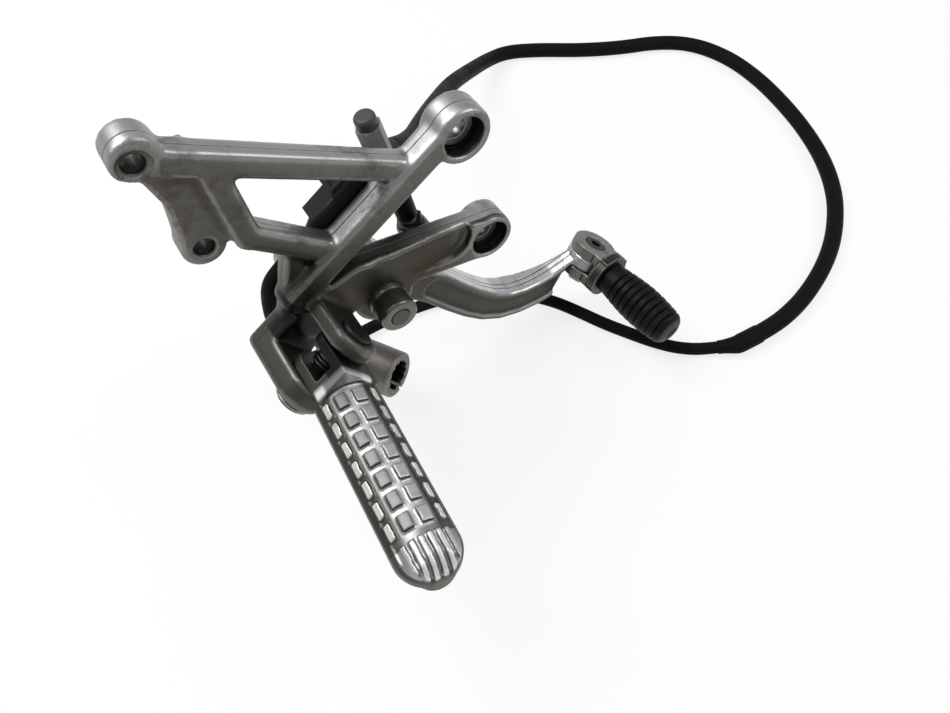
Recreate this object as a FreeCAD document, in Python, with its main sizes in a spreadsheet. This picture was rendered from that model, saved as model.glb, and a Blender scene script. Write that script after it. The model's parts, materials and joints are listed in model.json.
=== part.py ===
"""Motorcycle footrest hanger: cast hanger, folding footpeg, gear lever with folding toe peg,
shift linkage and sensor lead.

Millimetres. X forward, Y inboard (towards the motorcycle), Z up. The origin is on the axis of the
upper frame bolt, at the face that seats on the frame.
"""
import FreeCAD, Part
import math
import os

from FreeCAD import Placement, Rotation, Vector

# Driving dimensions
SIZES = {
    # frame bolt bosses
    "boss_length": 14.0,
    "upper_boss_dia": 24.6,
    "lower_boss_dia": 23.0,
    "lower_boss_x": 12.5,
    "lower_boss_z": -60.9,
    "counterbore_dia": 17.6,
    "counterbore_depth": 8.5,
    "frame_bolt_hole": 8.5,
    "sleeve_wall": 1.6,
    "sleeve_flange_dia": 15.0,
    "sleeve_flange": 1.6,
    # plate of the casting
    "plate_front": 2.0,
    "plate_thick": 10.0,
    "arm_thick": 12.0,
    "edge_round": 1.6,
    "beam_width": 10.0,
    "top_rear_x": -103.0,
    "top_rear_z": 40.0,
    "top_front_x": -20.0,
    "top_front_z": -3.5,
    "bottom_rear_x": -90.0,
    "bottom_rear_z": -11.0,
    "bottom_front_x": -60.0,
    "bottom_front_z": -36.5,
    "strut_width": 11.0,
    "strut_angle": 35.0,
    "strut_proud": 2.5,
    "arm_width": 22.0,
    "arm_rib": 5.4,
    "panel_depth": 3.0,
    # rear tab with the two accessory holes
    "tab_thick": 11.0,
    "tab_recess": 1.6,
    "tab_rim": 2.6,
    "rear_hole": 7.2,
    "rear_upper_x": -112.2,
    "rear_upper_z": 38.0,
    "rear_lower_x": -101.8,
    "rear_lower_z": -3.8,
    "rear_upper_lobe": 16.6,
    "rear_lower_lobe": 16.0,
    # clevis and footpeg
    "peg_pin_x": -76.0,
    "peg_pin_z": -65.0,
    "peg_pin_out": 18.0,
    "peg_pin_dia": 8.0,
    "pin_head_dia": 13.0,
    "pin_head": 3.0,
    "ear_thick": 7.5,
    "rear_ear_thick": 12.5,
    "ear_height": 23.0,
    "ear_gap": 18.0,
    "ear_round": 1.2,
    "rear_ear_round": 4.5,
    "clevis_step": 0.5,
    "side_play": 0.4,
    "peg_length": 100.5,
    "peg_width": 22.6,
    "peg_height": 16.0,
    "peg_sweep": 4.0,
    "peg_roll": -5.0,
    "peg_rows": 7.0,
    "groove_width": 2.9,
    "groove_depth": 2.0,
    "grip_start": 13.0,
    "grip_collar": 4.0,
    "tip_ribs": 15.0,
    "tip_land": 4.0,
    "tip_round": 10.0,
    "skirt_flare": 1.7,
    "skirt_slope": 2.5,
    "skirt_foot": 6.0,
    "stud_edge": 0.5,
    "rib_count": 6.0,
    "spring_wire": 1.6,
    "pin_tail": 3.2,
    # lever pivot
    "pivot_x": -40.0,
    "pivot_z": -67.0,
    "pivot_pin_dia": 8.0,
    "pivot_collar_dia": 17.6,
    "pivot_collar_end_dia": 16.8,
    "pivot_collar": 12.5,
    "pivot_boss_dia": 28.0,
    "bush_wall": 2.0,
    "running_fit": 0.05,
    "washer_thick": 1.2,
    "pivot_head": 5.0,
    # gear lever
    "lever_thick": 15.0,
    "lever_toe_thick": 4.2,
    "lever_height": 18.0,
    "lever_eye_dia": 23.0,
    "lever_groove": 1.5,
    "toe_eye_x": 86.5,
    "toe_eye_z": -131.0,
    "toe_eye_dia": 24.0,
    "toe_eye_thick": 7.0,
    "toe_tilt": 62.0,
    "toe_sweep": -8.0,
    "toe_length": 63.0,
    "toe_rubber_dia": 22.0,
    "toe_rubber": 46.0,
    "toe_core_dia": 9.0,
    "toe_fork": 5.5,
    "toe_flange_dia": 25.0,
    "toe_flange": 5.0,
    "toe_screw_dia": 6.0,
    "toe_screw_head_dia": 12.0,
    "toe_screw_head": 3.4,
    "toe_ribs": 9.0,
    "toe_rib_height": 1.3,
    "toe_nut": 4.5,
    "toe_socket": 1.8,
    # shift linkage
    "tail_x": -66.0,
    "tail_z": -60.0,
    "arm_eye_x": -62.0,
    "arm_eye_z": -112.0,
    "hub_x": -36.5,
    "hub_z": -138.0,
    "hub_dia": 24.0,
    "hub_bore": 17.0,
    "hub_length": 23.0,
    "hub_start": -7.0,
    "hub_turn": 31.0,
    "pinch_lug": 13.0,
    "pinch_lug_deep": 11.0,
    "pinch_slit": 1.8,
    "arm_plate": 6.0,
    "arm_plate_width": 13.0,
    "spline_teeth": 12.0,
    "ball_dia": 9.0,
    "ball_play": 0.2,
    "ball_stem_dia": 5.0,
    "ball_out": 7.0,
    "ball_seat": 6.0,
    "socket_dia": 14.0,
    "socket_thick": 9.0,
    "rod_hex": 8.5,
    "rod_stem": 12.0,
    "rod_gap": 1.5,
    "rod_nut": 4.0,
    "rod_nut_hex": 10.0,
    "pinch_bolt_dia": 5.0,
    # shift sensor
    "sensor_in": 11.0,
    "sensor_top_x": -28.8,
    "sensor_top_z": 6.0,
    "sensor_tilt": 76.5,
    "sensor_hex": 9.4,
    "sensor_length": 63.0,
    "sensor_grip": 34.0,
    "sensor_nose_dia": 7.0,
    "sensor_nose": 13.0,
    "sensor_cap": 5.0,
    "sensor_cap_dia": 8.8,
    "sensor_boot": 26.0,
    "sensor_boot_dia": 10.8,
    "lug_thick": 5.0,
    "lug_dia": 14.0,
    "nut_thick": 3.0,
    "gland_length": 12.0,
    "gland_dia": 8.0,
    # lead and connector
    "sleeve_dia": 9.8,
    "lead_dia": 6.8,
    "connector_width": 20.0,
    "connector_length": 25.0,
    "connector_depth": 13.0,
    "connector_x": -45.3,
    "connector_z": -21.8,
    "connector_collar": 6.0,
    "connector_collar_dia": 11.0,
    "plug_step": 1.0,
    "latch_width": 7.0,
    "latch_thick": 2.0,
    "socket_rim": 1.2,
}

doc = FreeCAD.newDocument("FootrestHanger")
sheet = doc.addObject("Spreadsheet::Sheet", "Sizes")
for row, (alias, value) in enumerate(SIZES.items(), start=1):
    sheet.set("A%d" % row, alias)
    sheet.set("B%d" % row, str(value))
    sheet.setAlias("B%d" % row, alias)
doc.recompute()


def mm(alias):
    """The number in one cell of the sheet."""
    return float(sheet.get(alias))


# Shared places and directions
OUT = Vector(0, -1, 0)
INWARD = Vector(0, 1, 0)
UP = Vector(0, 0, 1)
ALONG_X = Vector(1, 0, 0)


def at(x, y, z):
    return Vector(x, y, z)


def turned(angle):
    """The direction in the X-Z plane at an angle above X."""
    return Vector(math.cos(math.radians(angle)), 0, math.sin(math.radians(angle)))


def along(base, axis):
    """Placement that puts a piece's own Z on an axis through a base point."""
    return Placement(base, Rotation(UP, axis))


def from_axes(base, x_axis, z_axis):
    """Placement that puts a piece's own X and Z on two directions."""
    return Placement(base, Rotation(x_axis, z_axis.cross(x_axis), z_axis, "ZXY"))


face_y = -mm("boss_length")
plate_y = face_y + mm("plate_front")
plate_back = plate_y + mm("plate_thick")
arm_back = face_y + mm("arm_thick")
strut_dir = turned(mm("strut_angle"))
strut_side = turned(mm("strut_angle") + 90)
pivot = at(mm("pivot_x"), 0, mm("pivot_z"))
peg_pin = at(mm("peg_pin_x"), face_y - mm("peg_pin_out"), mm("peg_pin_z"))


# Shape helpers
def bar(start, start_r, end, end_r, y0, y1):
    """Prism between two depths over the outline that wraps two circles in the X-Z plane."""
    gap = end - start
    gap.y = 0
    length = gap.Length
    base_angle = math.atan2(gap.z, gap.x)
    lean = math.acos((start_r - end_r) / length)

    def rim(centre, r, angle):
        return at(centre.x + r * math.cos(angle), y0, centre.z + r * math.sin(angle))

    left = base_angle + lean
    right = base_angle - lean
    edges = [
        Part.LineSegment(rim(start, start_r, left), rim(end, end_r, left)).toShape(),
        Part.Arc(rim(end, end_r, left), rim(end, end_r, base_angle), rim(end, end_r, right)).toShape(),
        Part.LineSegment(rim(end, end_r, right), rim(start, start_r, right)).toShape(),
        Part.Arc(rim(start, start_r, right), rim(start, start_r, base_angle + math.pi),
                 rim(start, start_r, left)).toShape(),
    ]
    return Part.Face(Part.Wire(edges)).extrude(at(0, y1 - y0, 0))


def prism(points, y0, y1):
    """Prism between two depths over a polygon of (x, z) corners."""
    corners = [at(x, y0, z) for x, z in points]
    return Part.Face(Part.makePolygon(corners + corners[:1])).extrude(at(0, y1 - y0, 0))


def disc(centre, dia, y0, y1):
    return Part.makeCylinder(dia / 2, y1 - y0, at(centre.x, y0, centre.z), INWARD)


def rod(base, axis, dia, length):
    return Part.makeCylinder(dia / 2, length, base, axis)


def round_ends(shape, r, depths):
    """Round the outline edges of a prism at the given depths."""
    rims = [e for e in shape.Edges
            if any(all(abs(v.Point.y - y) < 1e-6 for v in e.Vertexes) for y in depths)]
    return shape.makeFillet(r, rims)


def hexagon(base, axis, across_flats, length):
    """Hexagonal prism along an axis."""
    r = across_flats / math.sqrt(3)
    corners = [Vector(r * math.cos(i * math.pi / 3), r * math.sin(i * math.pi / 3), 0) for i in range(7)]
    shape = Part.Face(Part.makePolygon(corners)).extrude(Vector(0, 0, length))
    shape.Placement = along(base, axis)
    return shape


finished = {}


def feature(label, shape):
    """A document object that holds a finished shape."""
    part = doc.addObject("Part::Feature", label)
    part.Shape = shape.removeSplitter()
    part.Label = label
    finished[label] = part
    return part


def cylinder(name, dia, length, base, axis):
    """A Part::Cylinder whose diameter and length follow the sheet."""
    piece = doc.addObject("Part::Cylinder", name)
    piece.setExpression("Radius", "(%s) / 2" % dia)
    piece.setExpression("Height", length)
    piece.Placement = along(base, axis)
    return piece


def cone(name, dia, end_dia, length, base, axis):
    """A Part::Cone whose two diameters and length follow the sheet."""
    piece = doc.addObject("Part::Cone", name)
    piece.setExpression("Radius1", "(%s) / 2" % dia)
    piece.setExpression("Radius2", "(%s) / 2" % end_dia)
    piece.setExpression("Height", length)
    piece.Placement = along(base, axis)
    return piece


def fused(label, *pieces):
    part = doc.addObject("Part::MultiFuse", label)
    part.Shapes = list(pieces)
    part.Refine = True
    part.Label = label
    finished[label] = part
    return part


def bored(label, base, *tools):
    """Cut one or more tools out of a base piece."""
    result = base
    for number, tool in enumerate(tools):
        step = doc.addObject("Part::Cut", "%s_cut_%d" % (label, number))
        step.Base = result
        step.Tool = tool
        result = step
    result.Label = label
    finished[label] = result
    return result


def cells(text):
    """An expression over the sheet, from its cells' bare names."""
    return " ".join("Sizes." + word if word in SIZES else word for word in text.split())


# Hanger casting
def frame_boss(centre, dia):
    body = disc(centre, dia, face_y, 0)
    return round_ends(body, mm("edge_round"), [face_y])


def boss_cuts(centre):
    floor = face_y + mm("counterbore_depth")
    sleeve_hole = mm("frame_bolt_hole") + 2 * mm("sleeve_wall")
    return [disc(centre, mm("counterbore_dia"), face_y - 1, floor), disc(centre, sleeve_hole, floor - 1, 1)]


upper_boss = at(0, 0, 0)
lower_boss = at(mm("lower_boss_x"), 0, mm("lower_boss_z"))
rear_upper = at(mm("rear_upper_x"), 0, mm("rear_upper_z"))
rear_lower = at(mm("rear_lower_x"), 0, mm("rear_lower_z"))
top_rear = at(mm("top_rear_x"), 0, mm("top_rear_z"))
top_front = at(mm("top_front_x"), 0, mm("top_front_z"))
bottom_rear = at(mm("bottom_rear_x"), 0, mm("bottom_rear_z"))
bottom_front = at(mm("bottom_front_x"), 0, mm("bottom_front_z"))
half_beam = mm("beam_width") / 2
half_strut = mm("strut_width") / 2


def between(a, b, share):
    return a + (b - a) * share


def beam(a, b):
    body = bar(a, half_beam, b, half_beam, plate_y, plate_back)
    return round_ends(body, mm("edge_round"), [plate_y, plate_back])


def plate_frame():
    """Top beam, bottom beam and rear post of the triangle; the four corners lie on its outer edge."""
    top_drop = INWARD.cross((top_front - top_rear).normalize()) * half_beam
    low_lift = INWARD.cross((bottom_front - bottom_rear).normalize()) * -half_beam
    top = (top_rear + top_drop, top_front + top_drop)
    low = (bottom_rear + low_lift, bottom_front + low_lift)
    return [beam(*top), beam(*low), beam(between(*top, POST_AT), low[0])]


POST_AT = 0.16
strut_start = strut_side * half_strut
strut_front = face_y - mm("strut_proud") + mm("plate_front")
strut_length = (strut_start - peg_pin).dot(strut_dir)


def strut():
    """Raised strut from the upper boss down to the clevis."""
    end = strut_start - strut_dir * (strut_length - mm("ear_gap") / 2)
    body = bar(strut_start, half_strut, end, half_strut, strut_front, arm_back)
    return round_ends(body, mm("edge_round"), [strut_front, arm_back])


ARM_END = (-10, 0, 14)
arm_end = pivot + at(*ARM_END)
PANEL_END = 0.78
PANEL_GAP = 9.0
ARM_INSET = 0.5
OVER = 1.0


def lower_arm():
    """Broad arm from the lower boss to the pivot, with a panel above a rib along its lower edge,
    sunk at the boss and running out towards the pivot."""
    boss_r = mm("lower_boss_dia") / 2 - ARM_INSET
    body = bar(lower_boss, boss_r, arm_end, mm("arm_width") / 2, face_y, arm_back)
    body = round_ends(body, mm("edge_round"), [face_y, arm_back])
    way = (arm_end - lower_boss).normalize()
    lift = INWARD.cross(way) * mm("arm_rib")
    panel_start = lower_boss + way * (mm("lower_boss_dia") / 2 + PANEL_GAP) + lift
    panel_end = between(lower_boss, arm_end, PANEL_END) + lift
    panel_r = mm("arm_width") / 2 - OVER
    depth = mm("panel_depth")
    panel = bar(panel_start, panel_r, panel_end, panel_r, face_y - 2 * depth, face_y + depth)
    run_out = math.degrees(math.atan2(depth, (panel_end - panel_start).Length))
    panel.rotate(panel_start + at(0, face_y + depth, 0), INWARD.cross(way), run_out)
    return body.cut(panel)


def tab_recess():
    """Space in front of the sunk tab, inside the rim of its upper lobe."""
    lip = mm("tab_rim")
    return bar(rear_upper, mm("rear_upper_lobe") / 2 - lip, rear_lower, mm("rear_lower_lobe") / 2 + 2 * lip,
               plate_y - OVER, plate_y + mm("tab_recess"))


def rear_tab():
    """Sunk tab with two holes; a rim runs round the end of the upper one."""
    tab_y = plate_y + mm("tab_recess")
    tab_back = tab_y + mm("tab_thick")
    upper_r = mm("rear_upper_lobe") / 2
    lower_r = mm("rear_lower_lobe") / 2
    web = prism([(rear_upper.x - 1, rear_upper.z - upper_r * 0.6),
                 (rear_upper.x + 4, (rear_upper.z + rear_lower.z) / 2),
                 (rear_lower.x - lower_r * 0.9, rear_lower.z + 1),
                 (bottom_rear.x, bottom_rear.z + half_beam), (top_rear.x + 8, top_rear.z - half_beam)],
                tab_y, tab_back)
    lip = mm("tab_rim")
    rim = disc(rear_upper + at(lip * 0.4, 0, lip * 0.5), 2 * upper_r, plate_y, tab_back)
    rim = round_ends(rim, mm("edge_round"), [plate_y])
    inner = tab_recess()
    low = round_ends(disc(rear_lower, 2 * lower_r, tab_y, tab_back), mm("ear_round"), [tab_y])
    return rim.cut(inner).fuse([web, low])


clevis_at = from_axes(at(peg_pin.x, face_y, peg_pin.z), strut_dir, strut_side)


def ear_rim(shape, x):
    """Edges round an ear's face at one X, without its root."""
    return [e for e in shape.Edges
            if all(abs(v.Point.x - x) < 1e-6 for v in e.Vertexes) and min(v.Point.y for v in e.Vertexes) < 0]


def clevis():
    """Two ears either side of the footpeg's tongue, on a block that joins the strut to the lower arm."""
    half_gap = mm("ear_gap") / 2
    front_ear = mm("ear_thick")
    rear_ear = mm("rear_ear_thick")
    half = mm("ear_height") / 2
    reach = mm("peg_pin_out")
    solids = []
    for offset, ear in ((half_gap, front_ear), (-half_gap - rear_ear, rear_ear)):
        plate = Part.makeBox(ear, reach + mm("arm_thick"), 2 * half, Vector(0, -reach, -half))
        tip = Part.makeCylinder(half, ear, Vector(0, -reach, 0), ALONG_X)
        one = plate.fuse(tip).removeSplitter()
        rear_round = mm("rear_ear_round") if offset < 0 else mm("ear_round")
        one = one.makeFillet(mm("ear_round"), ear_rim(one, ear))
        one = one.makeFillet(rear_round, ear_rim(one, 0))
        one.Placement = clevis_at.multiply(Placement(Vector(offset, 0, 0), Rotation()))
        solids.append(one)
    across = mm("ear_gap") + front_ear + rear_ear
    step = mm("clevis_step")
    back = Part.makeBox(across, mm("arm_thick") - step, 2 * half, Vector(-half_gap - rear_ear, step, -half))
    corners = [e for e in back.Edges if max(v.Point.x for v in e.Vertexes) < 0 and e.Length < mm("arm_thick")]
    back = back.makeFillet(mm("rear_ear_round"), corners)
    back.Placement = clevis_at
    return solids + [back]


RIB_FOOT_AT = 0.6


def gusset():
    """Web that carries the clevis on the lower arm, and a rib from the clevis up to the bottom beam."""
    pin_foot = at(peg_pin.x, 0, peg_pin.z)
    clevis_root = pin_foot + strut_dir * (mm("ear_gap") / 2)
    web = bar(arm_end, mm("arm_width") / 2, clevis_root, mm("ear_height") / 2, strut_front, arm_back)
    rib_r = half_beam * 0.9
    foot = pin_foot + strut_side * (mm("ear_height") / 2 - rib_r)
    head = between(bottom_rear, bottom_front, RIB_FOOT_AT)
    rib_y = plate_y + mm("plate_front")
    rib = bar(foot, rib_r, head, rib_r, rib_y, plate_back)
    return [web, round_ends(rib, mm("edge_round"), [rib_y, plate_back])]


def pivot_boss():
    body = disc(pivot, mm("pivot_boss_dia"), face_y, arm_back)
    return round_ends(body, mm("edge_round"), [face_y])


sensor_dir = turned(-mm("sensor_tilt"))
sensor_top = at(mm("sensor_top_x"), mm("sensor_in"), mm("sensor_top_z"))
sensor_end = sensor_top + sensor_dir * mm("sensor_length")
lug_base = sensor_end + sensor_dir * mm("nut_thick")


def sensor_lug():
    """Lug that stands inboard from the lower arm and carries the sensor's threaded nose."""
    r = mm("lug_dia") / 2
    eye = rod(lug_base, sensor_dir, 2 * r, mm("lug_thick"))
    web = Part.makeBox(mm("lug_thick"), lug_base.y - arm_back + 2, 2 * r)
    web.translate(Vector(0, 0, -r))
    web.Placement = from_axes(lug_base, sensor_dir, INWARD.cross(sensor_dir)).multiply(web.Placement)
    return eye.fuse(web)


pin_near = mm("ear_gap") / 2 + mm("ear_thick")
pin_rear = mm("ear_gap") / 2 + mm("rear_ear_thick")
pin_start = peg_pin + strut_dir * (pin_near - mm("pin_head") / 2)
pin_far = peg_pin - strut_dir * pin_rear


def hanger_casting():
    solids = plate_frame() + [strut(), lower_arm(), rear_tab(), pivot_boss(), sensor_lug()]
    solids += gusset() + clevis()
    solids += [frame_boss(upper_boss, mm("upper_boss_dia")), frame_boss(lower_boss, mm("lower_boss_dia"))]
    body = solids[0].fuse(solids[1:])
    cuts = boss_cuts(upper_boss) + boss_cuts(lower_boss)
    seat = mm("pivot_collar_dia") + 2 * mm("side_play")
    cuts.append(disc(pivot, seat, strut_front - OVER, face_y))
    spot = mm("rear_upper_lobe") - 2 * mm("tab_rim")
    cuts.append(disc(rear_upper, spot, plate_y - OVER, plate_y + mm("tab_recess")))
    for hole in (rear_upper, rear_lower):
        front = at(hole.x, plate_y - OVER, hole.z)
        cuts.append(rod(front, INWARD, mm("rear_hole"), mm("tab_recess") + mm("tab_thick") + 2 * OVER))
    cuts.append(disc(pivot, mm("pivot_pin_dia"), face_y - 5, 5))
    cuts.append(rod(lug_base - sensor_dir, sensor_dir, mm("sensor_nose_dia"), mm("lug_thick") + 2))
    pin_span = pin_near + pin_rear
    cuts.append(rod(pin_far - strut_dir * OVER, strut_dir, mm("peg_pin_dia"), pin_span + 2 * OVER))
    cuts.append(rod(pin_start, strut_dir, mm("pin_head_dia"), mm("pin_head") * 3))
    return body.cut(cuts)


feature("hanger_casting", hanger_casting())


# Steel sleeves pressed into the frame bolt bosses
def frame_sleeve(label, centre):
    floor = face_y + mm("counterbore_depth")
    flange = cylinder(label + "_flange", cells("sleeve_flange_dia"), cells("sleeve_flange"),
                      at(centre.x, floor, centre.z), OUT)
    tube = cylinder(label + "_tube", cells("frame_bolt_hole + 2 * sleeve_wall"),
                    cells("boss_length - counterbore_depth"), at(centre.x, floor, centre.z), INWARD)
    hole = cylinder(label + "_hole", cells("frame_bolt_hole"), cells("3 * boss_length"),
                    at(centre.x, 2 * face_y, centre.z), INWARD)
    bored(label, fused(label + "_blank", flange, tube), hole)
    del finished[label + "_blank"]


frame_sleeve("upper_frame_sleeve", upper_boss)
frame_sleeve("lower_frame_sleeve", lower_boss)


# Footpeg: a fork on the clevis pin carries a D-shaped grip covered with square studs
peg_out = Rotation(UP, -mm("peg_sweep")).multVec(OUT)
peg_top = turned(mm("peg_roll") + 90)


CROWN = 0.4
SIDE_INSET = 0.35
STUD_PITCH = 0.325
RIB_SPREAD = 0.9


def grip_section(inset):
    """Face across the grip: a crowned top over a round underside, drawn smaller by an inset."""
    half = mm("peg_width") / 2 - inset * SIDE_INSET
    top = mm("peg_height") * CROWN - inset
    low = -mm("peg_height") * (1 - CROWN)
    left = Vector(0, -half, 0)
    right = Vector(0, half, 0)
    wire = Part.Wire([Part.Arc(left, Vector(0, 0, top), right).toShape(),
                      Part.Arc(right, Vector(0, 0, low), left).toShape()])
    return Part.Face(wire)


def grip_plan(length):
    """Straight-sided plan with a round end, as tall as the grip."""
    r = mm("peg_width") / 2
    tall = 2 * mm("peg_height")
    straight = Part.makeBox(length - r, 2 * r, tall, Vector(0, -r, -tall / 2))
    return straight.fuse(Part.makeCylinder(r, tall, Vector(length - r, 0, -tall / 2)))


def grip_nose(length, inset):
    """Side view of the grip: straight, with the top's outer end rounded down, drawn smaller by an inset."""
    r = mm("tip_round")
    wide = mm("peg_width")
    tall = 2 * mm("peg_height")
    centre = Vector(length - r, -wide, mm("peg_height") * CROWN - r)
    straight = Part.makeBox(length - r, 2 * wide, 2 * tall, Vector(0, -wide, -tall))
    below = Part.makeBox(r, 2 * wide, tall, Vector(length - r, -wide, centre.z - tall))
    return straight.fuse([below, Part.makeCylinder(r - inset, 2 * wide, centre, Vector(0, 1, 0))])


def grip_skirt(length):
    """Flared lower body of the grip: a prism with a half-round end, both drawn from one half section."""
    r = mm("peg_width") / 2
    wide = r + mm("skirt_flare")
    low = -mm("peg_height") * (1 - CROWN)
    start = mm("grip_start") + mm("grip_collar")
    middle = Vector(length - wide, 0, 0)
    half = [(r, 0), (wide, -mm("skirt_slope")), (wide, -mm("skirt_foot")), (r * CROWN, low)]
    other = [(-y, z) for y, z in reversed(half)]
    across = Part.makePolygon([Vector(start, y, z) for y, z in half + other + half[:1]])
    prism = Part.Face(across).extrude(middle - Vector(start, 0, 0))
    outline = [(0, 0)] + half + [(0, low), (0, 0)]
    turned_end = Part.Face(Part.makePolygon([middle + Vector(y, 0, z) for y, z in outline]))
    return prism.fuse(turned_end.revolve(middle, UP, 360))


def footpeg():
    length = mm("peg_length")
    span = length - mm("grip_start")
    plan = grip_plan(length)

    def grip(inset):
        solid = grip_section(inset).extrude(Vector(span, 0, 0))
        solid.translate(Vector(mm("grip_start"), 0, 0))
        return solid.common(plan).common(grip_nose(length, inset))

    full = grip(0)
    core = grip(mm("groove_depth"))
    wide = mm("peg_width")
    tall = mm("peg_height")
    rows = int(mm("peg_rows"))
    first = mm("grip_start") + mm("grip_collar")
    pitch = (length - mm("tip_ribs") - mm("tip_land") - first) / rows
    groove = mm("groove_width")
    column = wide * STUD_PITCH
    studs = [Part.makeBox(mm("grip_collar"), 2 * wide, 2 * tall, Vector(mm("grip_start"), -wide, -tall))]
    for row in range(rows):
        x = first + row * pitch + groove
        for number in range(-2, 2):
            near = max(number * column + groove / 2, mm("stud_edge") - wide / 2)
            far = min((number + 1) * column - groove / 2, wide / 2 - mm("stud_edge"))
            studs.append(Part.makeBox(pitch - groove, far - near, tall, Vector(x, near, 0)))
    ribs = int(mm("rib_count"))
    rib_pitch = wide * RIB_SPREAD / ribs
    for number in range(ribs):
        y = (number - ribs / 2) * rib_pitch + rib_pitch * 0.2
        studs.append(Part.makeBox(mm("tip_ribs") + OVER, rib_pitch * 0.55, 2 * tall,
                                 Vector(length - mm("tip_ribs"), y, -tall)))
    raised = [full.common(stud) for stud in studs]
    body = core.fuse(raised + [grip_skirt(length)])
    body.Placement = from_axes(peg_pin, peg_out, peg_top)
    half = mm("ear_gap") / 2 - mm("side_play")
    eye = mm("ear_height") / 2 - mm("ear_round")
    reach = mm("grip_start") + mm("grip_collar")
    fork = Part.makeCylinder(eye, 2 * half, Vector(-half, 0, 0), ALONG_X)
    fork = fork.fuse(Part.makeBox(2 * half, reach, 2 * eye, Vector(-half, -reach, -eye)))
    slot = Part.makeBox(half, 4 * eye, 4 * eye,
                        Vector(-half / 2, mm("groove_width") - mm("grip_start"), -2 * eye))
    bore_r = mm("peg_pin_dia") / 2 + mm("running_fit")
    bore = Part.makeCylinder(bore_r, 4 * half, Vector(-2 * half, 0, 0), ALONG_X)
    fork = fork.cut([slot, bore])
    fork.Placement = from_axes(peg_pin, strut_dir, strut_side)
    return body.fuse(fork)


feature("footpeg", footpeg())

# Clevis pin with its head let into the forward ear, and the washer and clip at its other end
fused("footpeg_pin",
      cylinder("pin_shank", cells("peg_pin_dia"),
               cells("ear_gap + ear_thick + rear_ear_thick - pin_head / 2 + pin_tail"),
               pin_start, strut_dir * -1),
      cylinder("pin_head", cells("pin_head_dia"), cells("pin_head"), pin_start, strut_dir))
bored("pin_washer",
      cylinder("pin_washer_disc", cells("2 * peg_pin_dia"), cells("washer_thick"), pin_far, strut_dir * -1),
      cylinder("pin_washer_hole", cells("peg_pin_dia"), cells("3 * washer_thick"),
               pin_far + strut_dir, strut_dir * -1))
clip_base = pin_far - strut_dir * mm("washer_thick")
bored("pin_clip",
      cylinder("pin_clip_disc", cells("1.6 * peg_pin_dia"), cells("washer_thick"), clip_base, strut_dir * -1),
      cylinder("pin_clip_hole", cells("peg_pin_dia"), cells("3 * washer_thick"),
               clip_base + strut_dir, strut_dir * -1))


# Torsion spring of the footpeg, coiled on the pin between the fork's arms
COILS = 3


def peg_spring():
    wire = mm("spring_wire")
    pitch = 1.1 * wire
    height = COILS * pitch
    r = mm("peg_pin_dia") / 2 + mm("side_play") + wire / 2
    helix = Part.makeHelix(pitch, height, r)
    ring = Part.Wire(Part.makeCircle(wire / 2, Vector(r, 0, 0), Vector(0, 1, 0)))
    coil = Part.Wire(helix.Edges).makePipeShell([ring], True, True)
    coil.Placement = along(peg_pin - strut_dir * (height / 2), strut_dir)
    return coil


feature("footpeg_spring", peg_spring())

# Lever pivot: a steel pin through the casting, with a turned collar outboard and a hex head inboard
lever_front = arm_back + mm("washer_thick")
lever_back = lever_front + mm("lever_thick")
pivot_end = face_y - mm("pivot_collar")
pivot_length = lever_back + mm("washer_thick") - pivot_end
pivot_shank = rod(at(pivot.x, pivot_end, pivot.z), INWARD, mm("pivot_pin_dia"), pivot_length)
pivot_head = hexagon(at(pivot.x, lever_back + mm("washer_thick"), pivot.z), INWARD,
                     1.6 * mm("pivot_pin_dia"), mm("pivot_head"))
feature("pivot_bolt", pivot_shank.fuse(pivot_head))
bored("pivot_collar",
      cone("collar_body", cells("pivot_collar_dia"), cells("pivot_collar_end_dia"), cells("pivot_collar"),
           at(pivot.x, face_y, pivot.z), OUT),
      cylinder("collar_hole", cells("pivot_pin_dia"), cells("3 * pivot_collar"),
               at(pivot.x, face_y + mm("pivot_collar"), pivot.z), OUT))
bush_outer = mm("pivot_pin_dia") + 2 * mm("running_fit") + 2 * mm("bush_wall")
bored("lever_bush",
      cylinder("bush_body", cells("pivot_pin_dia + 2 * running_fit + 2 * bush_wall"), cells("lever_thick"),
               at(pivot.x, lever_front, pivot.z), INWARD),
      cylinder("bush_hole", cells("pivot_pin_dia + 2 * running_fit"), cells("3 * lever_thick"),
               at(pivot.x, lever_front - mm("lever_thick"), pivot.z), INWARD))
for label, y in (("pivot_washer_outer", arm_back), ("pivot_washer_inner", lever_back)):
    bored(label,
          cylinder(label + "_disc", cells("2.2 * pivot_pin_dia"), cells("washer_thick"),
                   at(pivot.x, y, pivot.z), INWARD),
          cylinder(label + "_hole", cells("pivot_pin_dia"), cells("3 * washer_thick"),
                   at(pivot.x, y - mm("washer_thick"), pivot.z), INWARD))

# Gear lever: pivot eye, cranked arm to the toe peg and a short tail for the shift rod
LEVER_ROUTE = [(-9, -95), (3, -110), (13, -121.5), (22, -130), (32, -136), (43, -139), (54, -139.5),
               (64, -138.5), (75, -135.5)]
TAPER_FROM = 36.0
LEVER_CLEAR = 1.12
TOE_INSET = 2.0
LEVER_RIM = 3.2
tail = at(mm("tail_x"), 0, mm("tail_z"))
toe_axis = turned(mm("toe_tilt"))
toe_eye = at(mm("toe_eye_x"), lever_front + TOE_INSET, mm("toe_eye_z"))


def lever_bars(r, y0, y1, points):
    return [bar(a, r, b, r, y0, y1) for a, b in zip(points, points[1:])]


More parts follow.
